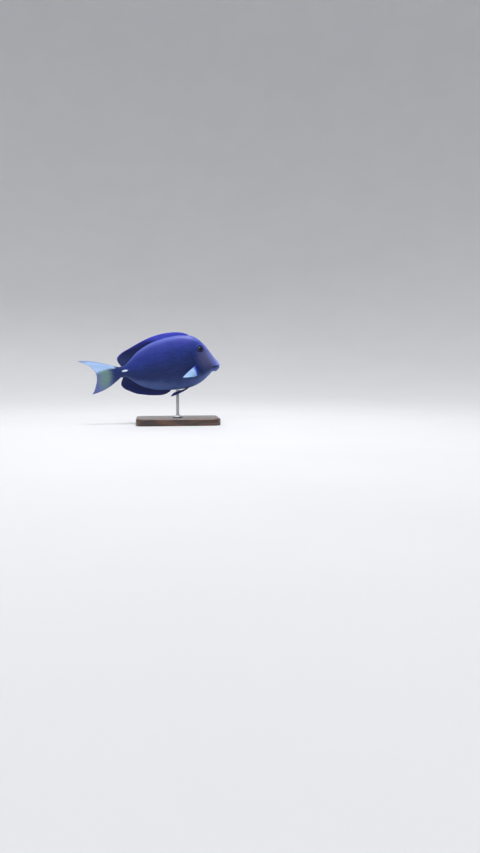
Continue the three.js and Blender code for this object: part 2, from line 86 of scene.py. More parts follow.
CHEEK_EDGE = [(0.79, 0.02), (0.796, -0.04), (0.82, -0.09), (0.858, -0.122), (0.895, -0.132)]
LATERAL_LINE = [
    (0.05, 0.004), (0.12, 0.03), (0.22, 0.1), (0.36, 0.158), (0.5, 0.182), (0.62, 0.178), (0.72, 0.145),
]
FLANK_SHAPE = 1.12
NOSE_ROUNDING = 0.022
SNOUT_TIP = 0.007
TAIL_END = -0.052
TAIL_ROUNDING = 0.016
POLE_PAST = 0.00015

# Relief of the skin. Sizes named proud and deep are how far it rises and sinks, those named wide are how
# soon it fades, and those named starts and ends are ranges that it comes and goes over.
GILL = Sizes(
    station=0.757, proud=0.0061, fades=0.11, starts=(-0.2, -0.13), ends=(0.02, 0.09), fold_wide=0.006,
    fold_deep=0.0018,
)
MOUTH = Sizes(
    corner=(0.927, -0.104), front=(1.02, -0.1215), level=-0.117, starts=(0.921, 0.933),
    slit_wide=0.0028, slit_deep=0.0075,
)
LIPS = Sizes(
    proud=0.0055, wide=0.0104, from_slit=0.0128, starts=(0.945, 0.975), ends=(0.984, 0.998),
    rim_proud=0.0022, rim_wide=0.004, rim_from_slit=0.006,
)
EYE = Sizes(
    x=0.828, z=0.085, radius=0.0345, depth=0.022, bulge=0.0065, cornea=0.0022, ring_proud=0.0034,
    ring_wide=0.0048, socket_deep=0.011,
)
NOSTRILS = [(0.874, 0.072, 0.0052), (0.886, 0.05, 0.0067)]
NOSTRIL = Sizes(deep=0.006, rim_proud=0.0014, rim_wide=0.003)
CHEEK_FOLD = Sizes(wide=0.0045, deep=0.0014, x=(0.77, 0.92), z=(-0.16, 0.05))
PORES = Sizes(wide=0.0035, deep=0.0008, starts=(0.08, 0.14), ends=(0.7, 0.74))
SCALPEL = Sizes(x=0.057, z=0.002, length=0.063, height=0.0195, thickness=0.014, slot_deep=0.0022)
SHOULDER = Sizes(z=-0.117, proud=0.0055, length=0.0305, height=0.055)

DORSAL = Sizes(
    spines=9, rays=27, root=(0.735, 0.036), sink=0.0134, rake=0.35,
    margin=[
        (0.742, 0.245), (0.7, 0.271), (0.64, 0.29), (0.565, 0.301), (0.465, 0.3), (0.362, 0.286),
        (0.256, 0.256), (0.148, 0.216), (0.06, 0.183), (0.012, 0.15), (0.001, 0.122), (0.008, 0.09),
    ],
)
ANAL = Sizes(
    spines=3, rays=25, root=(0.47, 0.036), sink=0.0134, rake=0.3,
    margin=[
        (0.472, -0.268), (0.445, -0.286), (0.41, -0.296), (0.36, -0.299), (0.26, -0.282), (0.166, -0.255),
        (0.118, -0.237), (0.07, -0.208), (0.024, -0.176), (0, -0.145), (-0.004, -0.12), (0.008, -0.09),
    ],
)
TAIL_UPPER = Sizes(
    sign=1, root=(0.012, 0.046), bulge=0.02, skew=1.35, curl=0.0396,
    tips=[(-0.378, 0.174), (-0.32, 0.138), (-0.273, 0.104), (-0.232, 0.051), (-0.221, 0.001)],
)
TAIL_LOWER = Sizes(
    sign=-1, root=(0.012, -0.052), bulge=0.026, skew=1, curl=0.0213,
    tips=[(-0.297, -0.172), (-0.272, -0.14), (-0.253, -0.106), (-0.229, -0.049), (-0.221, 0.001)],
)
TAIL_RAYS = 16
PECTORAL = Sizes(
    rays=16, root=((0.753, -0.068), (0.747, -0.17)), sink=0.0146, outwards=(0.172, 0.095),
    margin=[(0.594, -0.158), (0.623, -0.164), (0.653, -0.167), (0.684, -0.169), (0.707, -0.172)],
)
PELVIC = Sizes(
    rays=6, root=(0.668, 0.642), beside=0.02, sink=0.022, drop=0.03, outwards=(0.044, 0.022),
    margin=[(0.452, -0.331), (0.464, -0.32), (0.49, -0.301), (0.525, -0.288), (0.56, -0.284)],
)
SIDES = {"left": 1, "right": -1}
BLACK = (0, 0, 0)
LIT_SPOT = Vector((-0.045, 0, 0.1))


def linear(red, green, blue):
    """A colour of 0 to 255 as the eye sees it, in the linear numbers that a shader takes."""
    return tuple(
        c / 12.92 if c <= 0.04045 else ((c + 0.055) / 1.055) ** 2.4
        for c in (red / 255, green / 255, blue / 255)
    )


def colour_property(name, description, *seen):
    return FloatVectorProperty(
        name=name, description=description, subtype="COLOR", size=3, min=0, max=1, default=linear(*seen)
    )


def number_property(name, description, default, **limits):
    return FloatProperty(name=name, description=description, default=default, **limits)


def length_property(name, description, default):
    return number_property(name, description, default, min=0, unit="LENGTH")


def angle_property(name, description, degrees):
    return number_property(name, description, math.radians(degrees), subtype="ANGLE")


def share_property(name, description, default):
    return number_property(name, description, default, min=0.05, max=0.95, subtype="FACTOR")


def power_property(name, description, default):
    return number_property(name, description, default, min=0, unit="POWER")


class TangForm(bpy.types.PropertyGroup):
    """Sizes of the fish that a user would change."""
    length: length_property("Standard length", "From the snout to the root of the tail fin", 0.164)
    nose_up: angle_property("Nose up", "Tilt of the fish on its rod", 10)
    tail_swing: length_property("Tail swing", "How far the tail has swung to the fish's right", 0.0045)
    swing_starts: share_property("Swing starts", "Share of the length where the swing begins", 0.42)
    rod_at: share_property("Rod at", "Share of the length where the rod meets the belly", 0.535)
    rod_shows: length_property("Rod shows", "Length of rod between base and belly", 0.046)
    skin_rounds: IntProperty(
        name="Points round", description="Points of the skin round each section", default=240
    )
    scale_size: length_property("Scale size", "Width of one scale of the skin", 0.0009)


class TangColours(bpy.types.PropertyGroup):
    """Colours of the fish as they are painted."""
    # Back: the fish's violet blue, lighter than the flanks partly as painted light from above.
    back: colour_property("Back", "Lighter violet blue along the back", 64, 72, 180)
    shoulder_band: colour_property("Upper flank", "Deep blue between the back and the flank", 36, 54, 138)
    flank: colour_property("Flank", "Slate blue of the flanks", 17, 39, 97)
    # Belly: the fish's blue grey, lighter than the flanks partly as painted light.
    belly: colour_property("Belly", "Blue grey of the belly", 80, 102, 160)
    line: colour_property("Lines", "Thin wavy lines along the body", 70, 84, 164)
    # Cheek: a painted pink-lilac reflection ahead of the eye.
    cheek: colour_property("Cheek", "Pink grey patch ahead of the eye", 114, 110, 148)
    snout: colour_property("Snout", "Pale lilac of the snout and upper lip", 126, 145, 224)
    lip: colour_property("Upper lip", "Palest lilac, at the tip of the snout", 156, 164, 246)
    # Folds: painted shade inside the mouth slit, nostrils, eye rims and grooves; the same dark also draws
    # the body's dark wavy lines and the fins' mottling.
    fold: colour_property("Folds", "Dark inside of the mouth, nostrils and grooves", 8, 12, 34)
    shoulder: colour_property("Fin root", "Deep blue skin at the pectoral fin's root", 10, 46, 182)
    fin: colour_property("Fins", "Dark membrane of dorsal, anal and pelvic fins", 9, 21, 62)
    fin_stripe: colour_property("Fin stripes", "Stripes along the dorsal and anal fins", 42, 48, 148)
    fin_front: colour_property("Fin front", "Lilac blue of the dorsal fin's front half", 74, 82, 206)
    fin_lobe: colour_property("Fin lobe", "Grey blue of the dorsal fin's rear lobe", 62, 76, 122)
    fin_edge: colour_property("Fin edge", "Bright rim of the dorsal and anal fins", 96, 98, 216)
    tail_root: colour_property("Tail root", "Blue grey where the tail fin begins", 33, 50, 106)
    tail_pale: colour_property("Tail", "Pale yellow green of the tail fin", 104, 138, 132)
    tail_edge: colour_property("Tail edge", "Lilac of the tail fin's edges and lower tip", 86, 95, 170)
    # Tail lobe: painted highlight, the glare of the light from above on the tail fin's upper lobe.
    tail_lobe_highlight: colour_property("Tail lobe", "Bright blue white of the tail fin's upper lobe", 178, 210, 255)
    # Pectoral fins: the fin's pale blue white, made brighter by painted highlight where its face catches
    # the light from above.
    pectoral: colour_property("Pectoral fins", "Pale blue white of the pectoral fins", 178, 216, 255)
    # Pectoral shade: painted shade on the fin's lower part, and the bluer membrane between its rays.
    pectoral_shade: colour_property("Pectoral shade", "Blue between and behind its rays", 108, 150, 204)
    scalpel: colour_property("Tail spines", "Ivory white of the spines on the tail stalk", 208, 228, 255)
    iris: colour_property("Iris", "Dark blue brown of the iris", 44, 50, 98)
    pupil: colour_property("Pupil", "Black of the pupil", 4, 4, 8)
    eye_ring: colour_property("Pupil ring", "Thin pale ring round the pupil", 150, 140, 110)


class StandLook(bpy.types.PropertyGroup):
    """Sizes and colours of the display stand."""
    corner: length_property("Corner radius", "Radius of the base's upright corners", 0.012)
    edge: length_property("Edge radius", "Rounding of the base's edges", 0.0016)
    wood_dark: colour_property("Dark wood", "Dark grain of the base", 44, 27, 20)
    wood_light: colour_property("Light wood", "Light grain of the base", 98, 62, 42)
    wood_pores: colour_property("Wood pores", "Dark pores of the base", 18, 13, 10)
    steel: colour_property("Steel", "Brushed steel of the rod", 196, 198, 202)
    steel_dark: colour_property("Steel rings", "Darker rings in the steel", 144, 144, 149)


class StageLook(bpy.types.PropertyGroup):
    """Floor, light and camera."""
    floor: colour_property("Floor", "Pale floor that curves up into the background", 226, 226, 228)
    floor_mottle: colour_property("Floor cloud", "Faint darker cloud in the floor", 188, 191, 196)
    key_power: power_property("Key light", "Power of the large light above", 17)
    fill_power: power_property("Fill light", "Power of the light by the camera", 5)
    far_power: power_property("Far light", "Power of the light behind", 3)
    sky: number_property("Sky", "Strength of the even light all round", 0.66, min=0)
    distance: length_property("Camera distance", "From the camera to the fish, square to its side", 1.1217)
    turned: angle_property("Camera turned", "How far the camera looks to the right of the fish", 7.51)
    dipped: angle_property("Camera dipped", "How far the camera looks down", 5.05)


def clamp(value, low=0, high=1):
    return min(max(value, low), high)


def mix(a, b, share):
    return a + (b - a) * share


def smooth(share):
    share = clamp(share)
    return share * share * (3 - 2 * share)


def ramp(value, low, high):
    """0 below low, 1 above high, and a smooth rise between them."""
    return smooth((value - low) / (high - low))


def within(value, part):
    """1 between where a part starts and where it ends, with smooth changes."""
    return ramp(value, *part.starts) * (1 - ramp(value, *part.ends))


def bell(distance, width):
    return math.exp(-((distance / width) ** 2))


class Curve:
    """A smooth function through points whose first numbers rise, or a flat line outside them."""

    def __init__(self, points):
        self.places = [p[0] for p in points]
        self.values = [p[1] for p in points]
        last = len(points) - 1
        self.slopes = [
            (self.values[min(i + 1, last)] - self.values[max(i - 1, 0)])
            / (self.places[min(i + 1, last)] - self.places[max(i - 1, 0)])
            for i in range(len(points))
        ]

    def __call__(self, place):
        i = clamp(bisect_right(self.places, place) - 1, 0, len(self.places) - 2)
        span = self.places[i + 1] - self.places[i]
        t = clamp((place - self.places[i]) / span)
        bend = t * (1 - t) * span * ((1 - t) * self.slopes[i] - t * self.slopes[i + 1])
        return mix(self.values[i], self.values[i + 1], smooth(t)) + bend


class Path:
    """A smooth line through points of the side view, read by the share of its length."""

    def __init__(self, points, steps=240):
        self.spots = [self.spot(points, i / steps) for i in range(steps + 1)]
        self.reach = [0.0]
        for a, b in zip(self.spots, self.spots[1:]):
            self.reach.append(self.reach[-1] + math.dist(a, b))

    @staticmethod
    def spot(points, share):
        last = len(points) - 1
        i = min(int(share * last), last - 1)
        t = share * last - i
        before, a, b, after = (Vector(points[clamp(k, 0, last)]) for k in (i - 1, i, i + 1, i + 2))
        cubic = 3 * (a - b) + after - before
        square = 2 * before - 5 * a + 4 * b - after
        return tuple(a + 0.5 * t * (b - before + t * (square + t * cubic)))

    def __call__(self, share):
        goal = clamp(share) * self.reach[-1]
        i = clamp(bisect_right(self.reach, goal) - 1, 0, len(self.spots) - 2)
        t = (goal - self.reach[i]) / (self.reach[i + 1] - self.reach[i])
        return tuple(mix(a, b, t) for a, b in zip(self.spots[i], self.spots[i + 1]))

    def distance(self, x, z):
        """How far a place of the side view lies from the line."""
        return min(math.hypot(x - px, z - pz) for px, pz in self.spots)


back = Curve(BACK)
belly = Curve(BELLY)
width_at = Curve(HALF_WIDTH)
gill_curve = Curve([(-z, x) for x, z in GILL_EDGE])
cheek_line = Path(CHEEK_EDGE, 60)
side_line = Curve(LATERAL_LINE)


def gill_edge(z):
    return gill_curve(-z)


def half_width(x):
    """Half the body's width, rounded off at the nose and at the tail end."""
    nose = clamp((x - 1) / NOSE_ROUNDING + 1)
    stub = clamp((TAIL_END - x) / TAIL_ROUNDING + 1)
    return width_at(x) * math.sqrt(1 - 0.97 * nose * nose) * math.sqrt(1 - 0.97 * stub * stub)


# Each of the next functions gives a feature's relief at a place of the side view: how far the skin stands
# out of its smooth form, and how deep in a fold it lies, from 0 to 1.
def gill_relief(x, z):
    """The gill cover stands out over the torso, with a fold along its edge."""
    ahead = x - gill_edge(z)
    level = within(z, GILL)
    plate = GILL.proud * level * math.exp(-ahead / GILL.fades) if ahead > 0 else 0
    fold = level * bell(min(ahead, 0), GILL.fold_wide) if ahead < 0.0004 else 0
    return plate - GILL.fold_deep * fold, 0.35 * fold


def mouth_relief(x, z):
    """Rounded lips on both sides of the slit, flatter at the snout's tip."""
    (corner_x, corner_z), (front_x, front_z) = MOUTH.corner, MOUTH.front
    above = z - corner_z - (x - corner_x) * (front_z - corner_z) / (front_x - corner_x)
    in_mouth = ramp(x, *MOUTH.starts)
    lips = LIPS.proud * ramp(x, *LIPS.starts) * bell(abs(above) - LIPS.from_slit, LIPS.wide)
    lips += LIPS.rim_proud * in_mouth * bell(abs(above) - LIPS.rim_from_slit, LIPS.rim_wide)
    lips *= 1 - 0.8 * ramp(x, *LIPS.ends)
    slit = in_mouth * bell(above, MOUTH.slit_wide)
    return lips - MOUTH.slit_deep * slit, slit


def eye_relief(x, z):
    """A raised ring round the eye's socket."""
    away = math.hypot(x - EYE.x, z - EYE.z)
    ring = bell(away - EYE.radius * 1.1, EYE.ring_wide)
    socket = 1 - ramp(away, EYE.radius * 0.88, EYE.radius * 1.01)
    return EYE.ring_proud * ring - EYE.socket_deep * socket, socket


def nostril_relief(x, z):
    """Pits with a low rim."""
    proud = 0
    for nostril_x, nostril_z, radius in NOSTRILS:
        away = math.hypot(x - nostril_x, z - nostril_z)
        proud += NOSTRIL.rim_proud * bell(away - radius * 1.3, NOSTRIL.rim_wide)
        proud -= NOSTRIL.deep * (1 - ramp(away, radius * 0.5, radius * 1.05))
    return proud, 0


def groove_relief(x, z):
    """The fold across the cheek and the lateral line's row of pores."""
    (back_x, front_x), (low_z, high_z) = CHEEK_FOLD.x, CHEEK_FOLD.z
    near = back_x < x < front_x and low_z < z < high_z
    cheek = bell(cheek_line.distance(x, z), CHEEK_FOLD.wide) if near else 0
    pores = bell(z - side_line(x), PORES.wide) * within(x, PORES)
    return -CHEEK_FOLD.deep * cheek - PORES.deep * pores, max(0.2 * cheek, 0.15 * pores)


def slot_relief(x, z):
    """The slot that the tail stalk's spine lies in."""
    away = 2 * math.hypot((x - SCALPEL.x) / SCALPEL.length, (z - SCALPEL.z) / SCALPEL.height)
    return -SCALPEL.slot_deep * (1 - ramp(away, 1, 1.3)), 0.7 * bell(away - 1.06, 0.16)


def shoulder_relief(x, z):
    """The swelling of the body under the pectoral fin's root."""
    beside_root = bell(x - PECTORAL.root[0][0], SHOULDER.length)
    return SHOULDER.proud * beside_root * bell(z - SHOULDER.z, SHOULDER.height), 0


FEATURES = (
    gill_relief, mouth_relief, eye_relief, nostril_relief, groove_relief, slot_relief, shoulder_relief,
)


def spread(start, stop, steps, ease=lambda t: t):
    return [start + (stop - start) * ease(i / steps) for i in range(steps)]


def stations(fine):
    """Places of the skin's sections, closer together where the head needs them and at the gill's edge."""
    before_gill, past_gill = GILL.station - 0.0006, GILL.station + 0.0006
    return [
        *spread(TAIL_END, 0.12, round(40 * fine)),
        *spread(0.12, 0.7, round(70 * fine)),
        *spread(0.7, before_gill, round(22 * fine)),
        *spread(before_gill, past_gill, 2),
        *spread(past_gill, 0.93, round(100 * fine)),
        *spread(0.93, 1, round(64 * fine), lambda t: math.sin(t * math.pi / 2)),
        1.0,
    ]


def flank_point(station, turn):
    """A place on the smooth skin, where turn runs once round the section, and its level, -1 at the belly
    and 1 at the back. Sections near the gill opening bend so that one of them follows its edge."""
    angle = turn * TAU + 0.2 * math.sin(turn * 2 * TAU)
    level = math.cos(angle)
    x = station
    bends = bell(station - GILL.station, 0.12)
    for _ in range(3):
        z = mix(belly(x), back(x), (level + 1) / 2)
        x = station + (gill_edge(z) - GILL.station) * bends
    middle = (back(x) + belly(x)) / 2
    tip = clamp((x - 1) / SNOUT_TIP + 1)
    z = middle + (z - middle) * math.sqrt(1 - 0.96 * tip * tip)
    side = math.sin(angle)
    y = math.copysign(abs(side) ** FLANK_SHAPE, side) * half_width(x)
    return Vector((x, y, z)), level


def on_flank(x, z, side):
    """The skin's point and outward direction at a place of the side view, on side 1 (left) or -1."""
    def point(px, pz):
        level = clamp((2 * pz - back(px) - belly(px)) / (back(px) - belly(px)), -1)
        wide = math.sqrt(1 - level * level) ** FLANK_SHAPE * half_width(px)
        return Vector((px, side * (wide + shoulder_relief(px, pz)[0]), pz))

    step = 0.003
    forward = point(x + step, z) - point(x - step, z)
    up = point(x, z + step) - point(x, z - step)
    out = forward.cross(up).normalized()
    return point(x, z), (out if out.y * side > 0 else -out)


def to_world(form):
    """The function that takes a place in the fish's own frame to the stand's frame, in metres."""
    tilt = Matrix.Rotation(-form.nose_up, 3, "Y")
    foot = tilt @ (Vector((form.rod_at, 0, belly(form.rod_at))) * form.length)
    shift = Vector((-foot.x, 0, BASE_HIGH.z + form.rod_shows - foot.z))

    def place(spot):
        behind = max(form.swing_starts - spot.x, 0) / form.swing_starts
        level = spot * form.length
        level.y -= form.tail_swing * behind * behind
        return tilt @ level + shift

    return place


def add_object(name, bm, material):
    """Makes the finished mesh a smoothly shaded object."""
    mesh = bpy.data.meshes.new(name)
    bm.to_mesh(mesh)
    bm.free()
    mesh.materials.append(material)
    for face in mesh.polygons:
        face.use_smooth = True
    made = bpy.data.objects.new(name, mesh)
    bpy.context.scene.collection.objects.link(made)
    return made


def finish_piece(name, bm, material, slot, *nodes):
    """Makes the finished mesh a piece that rides on the root body and stands for its nodes."""
    piece = add_object(name, bm, material)
    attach(piece, "root")
    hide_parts(*nodes)


def face_outwards(bm):
    bm.normal_update()
    bmesh.ops.recalc_face_normals(bm, faces=bm.faces)
    if bm.calc_volume(signed=True) < 0:
        bmesh.ops.reverse_faces(bm, faces=bm.faces)
    bm.normal_update()


def fineness():
    return 1


def skin_mesh(form):
    """One skin for head, jaw, torso and tail stalk: a sphere whose rings become the body's sections."""
    fine = fineness()
    places = stations(fine)
    last = len(places) + 1
    rounds = round(form.skin_rounds * fine / 4) * 4
    bm = bmesh.new()
    bmesh.ops.create_uvsphere(bm, u_segments=rounds, v_segments=last, radius=1)
    place_layer = bm.verts.layers.float_vector.new("place")
    level_layer = bm.verts.layers.float.new("level")
    fold_layer = bm.verts.layers.float.new("fold")
    for vert in bm.verts:
        ring = round(math.acos(clamp(vert.co.z, -1)) / math.pi * last)
        station = places[clamp(ring - 1, 0, last - 2)]
        spot, level = flank_point(station, math.atan2(vert.co.y, vert.co.x) / TAU)
        if ring in (0, last):
            past = math.copysign(POLE_PAST, ring - 1)
            spot = Vector((station + past, 0, (back(station) + belly(station)) / 2))
        vert.co = spot
        vert[place_layer] = spot
        vert[level_layer] = level
    face_outwards(bm)
    world = to_world(form)
    for vert in bm.verts:
        reliefs = [feature(vert.co.x, vert.co.z) for feature in FEATURES]
        vert[fold_layer] = max(fold for _, fold in reliefs)
        vert.co = world(vert.co + vert.normal * sum(proud for proud, _ in reliefs))
    face_outwards(bm)
    return bm


def fin_mesh(form, place, count, points_a_ray, rows, **build):
    """A closed, rayed sheet: a grid laid on the fin's middle surface, doubled, parted by its thickness
    and welded round its rim. Each vertex keeps its place on the fin and how much of a ray it is."""
    half_thickness = rayed(count, **build)
    columns = round((count - 1) * points_a_ray * fineness())
    bm = bmesh.new()
    bmesh.ops.create_grid(bm, x_segments=columns, y_segments=round(rows * fineness()), size=1)
    size = max(vert.co.x for vert in bm.verts)
    fin_layer = bm.verts.layers.float_vector.new("fin")
    rim_layer = bm.verts.layers.float.new("rim")
    world = to_world(form)
    for vert in bm.verts:
        u, v = (vert.co.x / size + 1) / 2, (vert.co.y / size + 1) / 2
        half, ray = half_thickness(u, v)
        vert[fin_layer] = (u, v, ray)
        vert[rim_layer] = 0 if vert.is_boundary else half
        vert.co = world(place(u, v))
    bm.normal_update()
    normals = {vert: vert.normal.copy() for vert in bm.verts}
    made = bmesh.ops.duplicate(bm, geom=bm.verts[:] + bm.edges[:] + bm.faces[:])
    for vert, normal in normals.items():
        twin = made["vert_map"][vert]
        vert.co += normal * vert[rim_layer] * form.length
        twin.co -= normal * vert[rim_layer] * form.length
    twins = [part for part in made["geom"] if isinstance(part, bmesh.types.BMFace)]
    bmesh.ops.reverse_faces(bm, faces=twins)
    bmesh.ops.remove_doubles(bm, verts=[vert for vert in bm.verts if vert.is_boundary], dist=1e-7)
    face_outwards(bm)
    return bm


def rayed(count, spines=0, root=0.0072, web=0.0027, ridge=0.0022, fork=0.5, emerge=0.1):
    """The function for half a fin's thickness at u across and v along its rays, and how much of a ray
    shows there. The rays rise out of the fleshy root, and soft rays fork on their way to the margin."""
    def half_thickness(u, v):
        step = u * (count - 1)
        single = max(math.cos(math.pi * (step - round(step))), 0) ** 10
        doubled = step * 2 + 0.5
        double = max(math.cos(math.pi * (doubled - round(doubled))), 0) ** 6
        is_spine = step < spines - 0.5
        ray = single if is_spine else mix(single, double * 0.8, ramp(v, fork, fork + 0.25))
        ray *= ramp(v, 0, emerge)
        strength = (1.8 if is_spine else 1) * (1 - 0.65 * v)
        return (mix(root, web, ramp(v, 0, 0.35)) + ridge * ray * strength) / 2, ray

    return half_thickness


def scallop(u, count, spines):
    """How far the margin reaches at u, with deep notches between spines and slight ones between rays."""
    step = u * (count - 1)
    notch = 0.06 if step < spines - 1 else 0.018
    return 1 - notch * math.sin(math.pi * step) ** 2


def midline_place(fin, edge, sign):
    """The middle surface of the dorsal or anal fin."""
    count = fin.spines + fin.rays
    tips = Path(fin.margin)

    def place(u, v):
        x = mix(*fin.root, u)
        tip_x, tip_z = tips(u + fin.rake * u * (1 - u))
        v *= scallop(u, count, fin.spines)
        sway = 0.0035 * math.sin(u * 9) * v * v
        return Vector((mix(x, tip_x, v), sway, mix(edge(x) - sign * fin.sink, tip_z, v)))

    return place


TAIL_TIPS = {lobe.sign: Path(lobe.tips) for lobe in (TAIL_UPPER, TAIL_LOWER)}


def tail_place(u, v):
    """The middle surface of the tail fin, from its upper edge to its lower edge."""
    lobe = TAIL_UPPER if u < 0.5 else TAIL_LOWER
    inward = 1 - abs(2 * u - 1)
    tip_x, tip_z = TAIL_TIPS[lobe.sign](inward)
    v *= scallop(u, TAIL_RAYS, 0)
    root_x, root_z = lobe.root
    z = mix(root_z * (1 - inward), tip_z, v)
    z += lobe.sign * lobe.bulge * (1 - inward) ** 2 * math.sin(math.pi * v ** lobe.skew)
    lean = lobe.curl * abs(z / lobe.tips[0][1]) ** 1.6 * v ** 1.2
    return Vector((mix(root_x, tip_x, v), lean + 0.002 * math.sin(u * 25) * v * v, z))


def pectoral_place(side):
    """The middle surface of a pectoral fin, held out from the flank."""
    tips = Path(PECTORAL.margin)
    (top_x, top_z), (low_x, low_z) = PECTORAL.root

    def place(u, v):
        x, z = mix(top_x, low_x, u), mix(top_z, low_z, u)
        tip_x, tip_z = tips(u)
        ray = Vector((tip_x - x, side * mix(*PECTORAL.outwards, u), tip_z - z))
        start = on_flank(x, z, side)[0] - ray.normalized() * PECTORAL.sink
        v *= scallop(u, PECTORAL.rays, 0)
        arch = Vector((0, 0, 0.006 * math.sin(math.pi * v) * (1 - u)))
        return start + ray * (v * (1 + PECTORAL.sink / ray.length)) + arch

    return place


def pelvic_place(side):
    """The middle surface of a pelvic fin, whose rays drop clear of the belly before they bend back."""
    tips = Path(PELVIC.margin)

    def place(u, v):
        x = mix(*PELVIC.root, u)
        y = PELVIC.beside * (1 - 0.35 * u)
        tip_x, tip_z = tips(u)
        v *= scallop(u, PELVIC.rays, 1)
        start = Vector((x, side * y, belly(x) + PELVIC.sink))
        drop = PELVIC.drop
        knee = Vector((x - drop, side * (y + 0.006), belly(x) - drop * (1 - 0.4 * u)))
        tip = Vector((tip_x, side * (y + mix(*PELVIC.outwards, u)), tip_z))
        return start * (1 - v) ** 2 + knee * (2 * v * (1 - v)) + tip * v * v

    return place


def ball_mesh(form, segments, rings, layer_name, place):
    """A sphere shaped by place. Each vertex keeps its spot on the sphere in a layer."""
    bm = bmesh.new()
    bmesh.ops.create_uvsphere(bm, u_segments=segments, v_segments=rings, radius=1)
    layer = bm.verts.layers.float_vector.new(layer_name)
    world = to_world(form)
    for vert in bm.verts:
        vert[layer] = vert.co
        vert.co = world(place(*vert.co))
    face_outwards(bm)
    return bm


def eye_mesh(form, side):
    """An eyeball with a raised cornea."""
    seat, out = on_flank(EYE.x, EYE.z, side)
    centre = seat + out * (EYE.bulge - EYE.depth)
    forward = Vector((1, 0, 0))
    forward = (forward - out * forward.dot(out)).normalized()
    up = out.cross(forward) * side

    def place(a, b, c):
        cornea = EYE.cornea * (1 - ramp(math.hypot(a, b), 0, 0.75)) if c > 0 else 0
        return centre + (forward * a + up * b) * EYE.radius + out * (c * EYE.depth + cornea)

    return ball_mesh(form, 64, 48, "disc", place)


def scalpel_mesh(form, side):
    """The folded spine on the tail stalk: a flattened spindle, sharper at its front end."""
    seat, out = on_flank(SCALPEL.x, SCALPEL.z, side)
    centre = seat - out * SCALPEL.thickness * 0.02
    forward = out.cross(Vector((0, 0, 1))).normalized()
    forward *= math.copysign(1, forward.x)
    upward = out.cross(forward)

    def place(across, up, ahead):
        taper = 1 - 0.3 * max(ahead, 0) ** 2
        thick = out * (across * SCALPEL.thickness / 2) + upward * (up * SCALPEL.height / 2)
        return centre + forward * (ahead * SCALPEL.length / 2) + thick * taper

    return ball_mesh(form, 32, 28, "spine", place)


def revolved(profile, steps):
    """A shape turned round the upright axis from a profile of radii and heights."""
    bm = bmesh.new()
    line = [bm.verts.new((radius, 0, height)) for radius, height in profile]
    edges = [bm.edges.new(pair) for pair in zip(line, line[1:])]
    bmesh.ops.spin(
        bm, geom=line + edges, cent=(0, 0, 0), axis=(0, 0, 1), angle=TAU, steps=steps, use_merge=True,
        use_duplicate=False,
    )
    bmesh.ops.remove_doubles(bm, verts=bm.verts, dist=1e-6)
    face_outwards(bm)
    return bm


def base_mesh(stand):
    """The base's block, with rounded upright corners and softened edges."""
    size = BASE_HIGH - BASE_LOW
    bm = bmesh.new()
    bmesh.ops.create_cube(bm, size=1)
    bmesh.ops.scale(bm, vec=size, verts=bm.verts)
    bmesh.ops.translate(bm, vec=(BASE_HIGH + BASE_LOW) / 2, verts=bm.verts)

    def rise(edge):
        return abs(edge.verts[0].co.z - edge.verts[1].co.z)

    bevel = {"affect": "EDGES", "profile": 0.5, "material": -1, "offset_type": "OFFSET"}
    upright = [edge for edge in bm.edges if rise(edge) > size.z / 2]
    bmesh.ops.bevel(bm, geom=upright, offset=stand.corner, segments=16, **bevel)
    level = [edge for edge in bm.edges if rise(edge) < size.z / 2 and edge.calc_face_angle(0) > 1]
    bmesh.ops.bevel(bm, geom=level, offset=stand.edge, segments=6, **bevel)
    return bm


def rod_mesh():
    """The rod, with a turned collar at its foot and a softened end inside the fish."""
    collar = (ROD_HIGH.x - ROD_LOW.x) / 2
    foot = [
        (0, 0), (collar - 0.0003, 0), (collar, 0.0004), (collar, 0.0014), (collar - 0.0004, 0.0019),
        (collar * 0.86, 0.0024), (ROD_RADIUS * 1.6, 0.0031), (ROD_RADIUS * 1.25, 0.0038),
        (ROD_RADIUS * 1.06, 0.0052), (ROD_RADIUS, 0.0064),
    ]
    end = [(ROD_RADIUS, -0.001), (ROD_RADIUS - 0.0008, 0), (0, 0)]
    profile = [(r, BASE_HIGH.z + z) for r, z in foot] + [(r, ROD_HIGH.z + z) for r, z in end]
    return revolved(profile, 64)


def operator_pair(operation):
    """The methods for an operator and its reflected form, which add a Math node."""
    def plain(self, other):
        return self.maths(operation, self, other)

    def reflected(self, other):
        return self.maths(operation, other, self)

    return plain, reflected


class Socket:
    """A value in a material, so that shader maths reads as ordinary expressions."""

    def __init__(self, recipe, link):
        self.recipe = recipe
        self.link = link

    def maths(self, operation, *values):
        return self.recipe.node("ShaderNodeMath", {"operation": operation}, dict(enumerate(values)))

    __add__, __radd__ = operator_pair("ADD")
    __sub__, __rsub__ = operator_pair("SUBTRACT")
    __mul__, __rmul__ = operator_pair("MULTIPLY")
    __truediv__ = operator_pair("DIVIDE")[0]
    __pow__ = operator_pair("POWER")[0]

    def __abs__(self):
        return self.maths("ABSOLUTE", self)

    def sine(self):
        return self.maths("SINE", self)

    def ramp(self, low, high):
        """0 below low, 1 above high, and a smooth rise between them. Low may be the larger of the two."""
        settings = {"interpolation_type": "SMOOTHSTEP"}
        flipped = low > high
        sockets = {"Value": self, "From Min": min(low, high), "From Max": max(low, high)}
        risen = self.recipe.node("ShaderNodeMapRange", settings, sockets, "Result")
        return 1 - risen if flipped else risen

    def band(self, centre, width):
        """1 at the centre, falling smoothly to 0 at width to either side."""
        return abs(self - centre).ramp(width, 0)


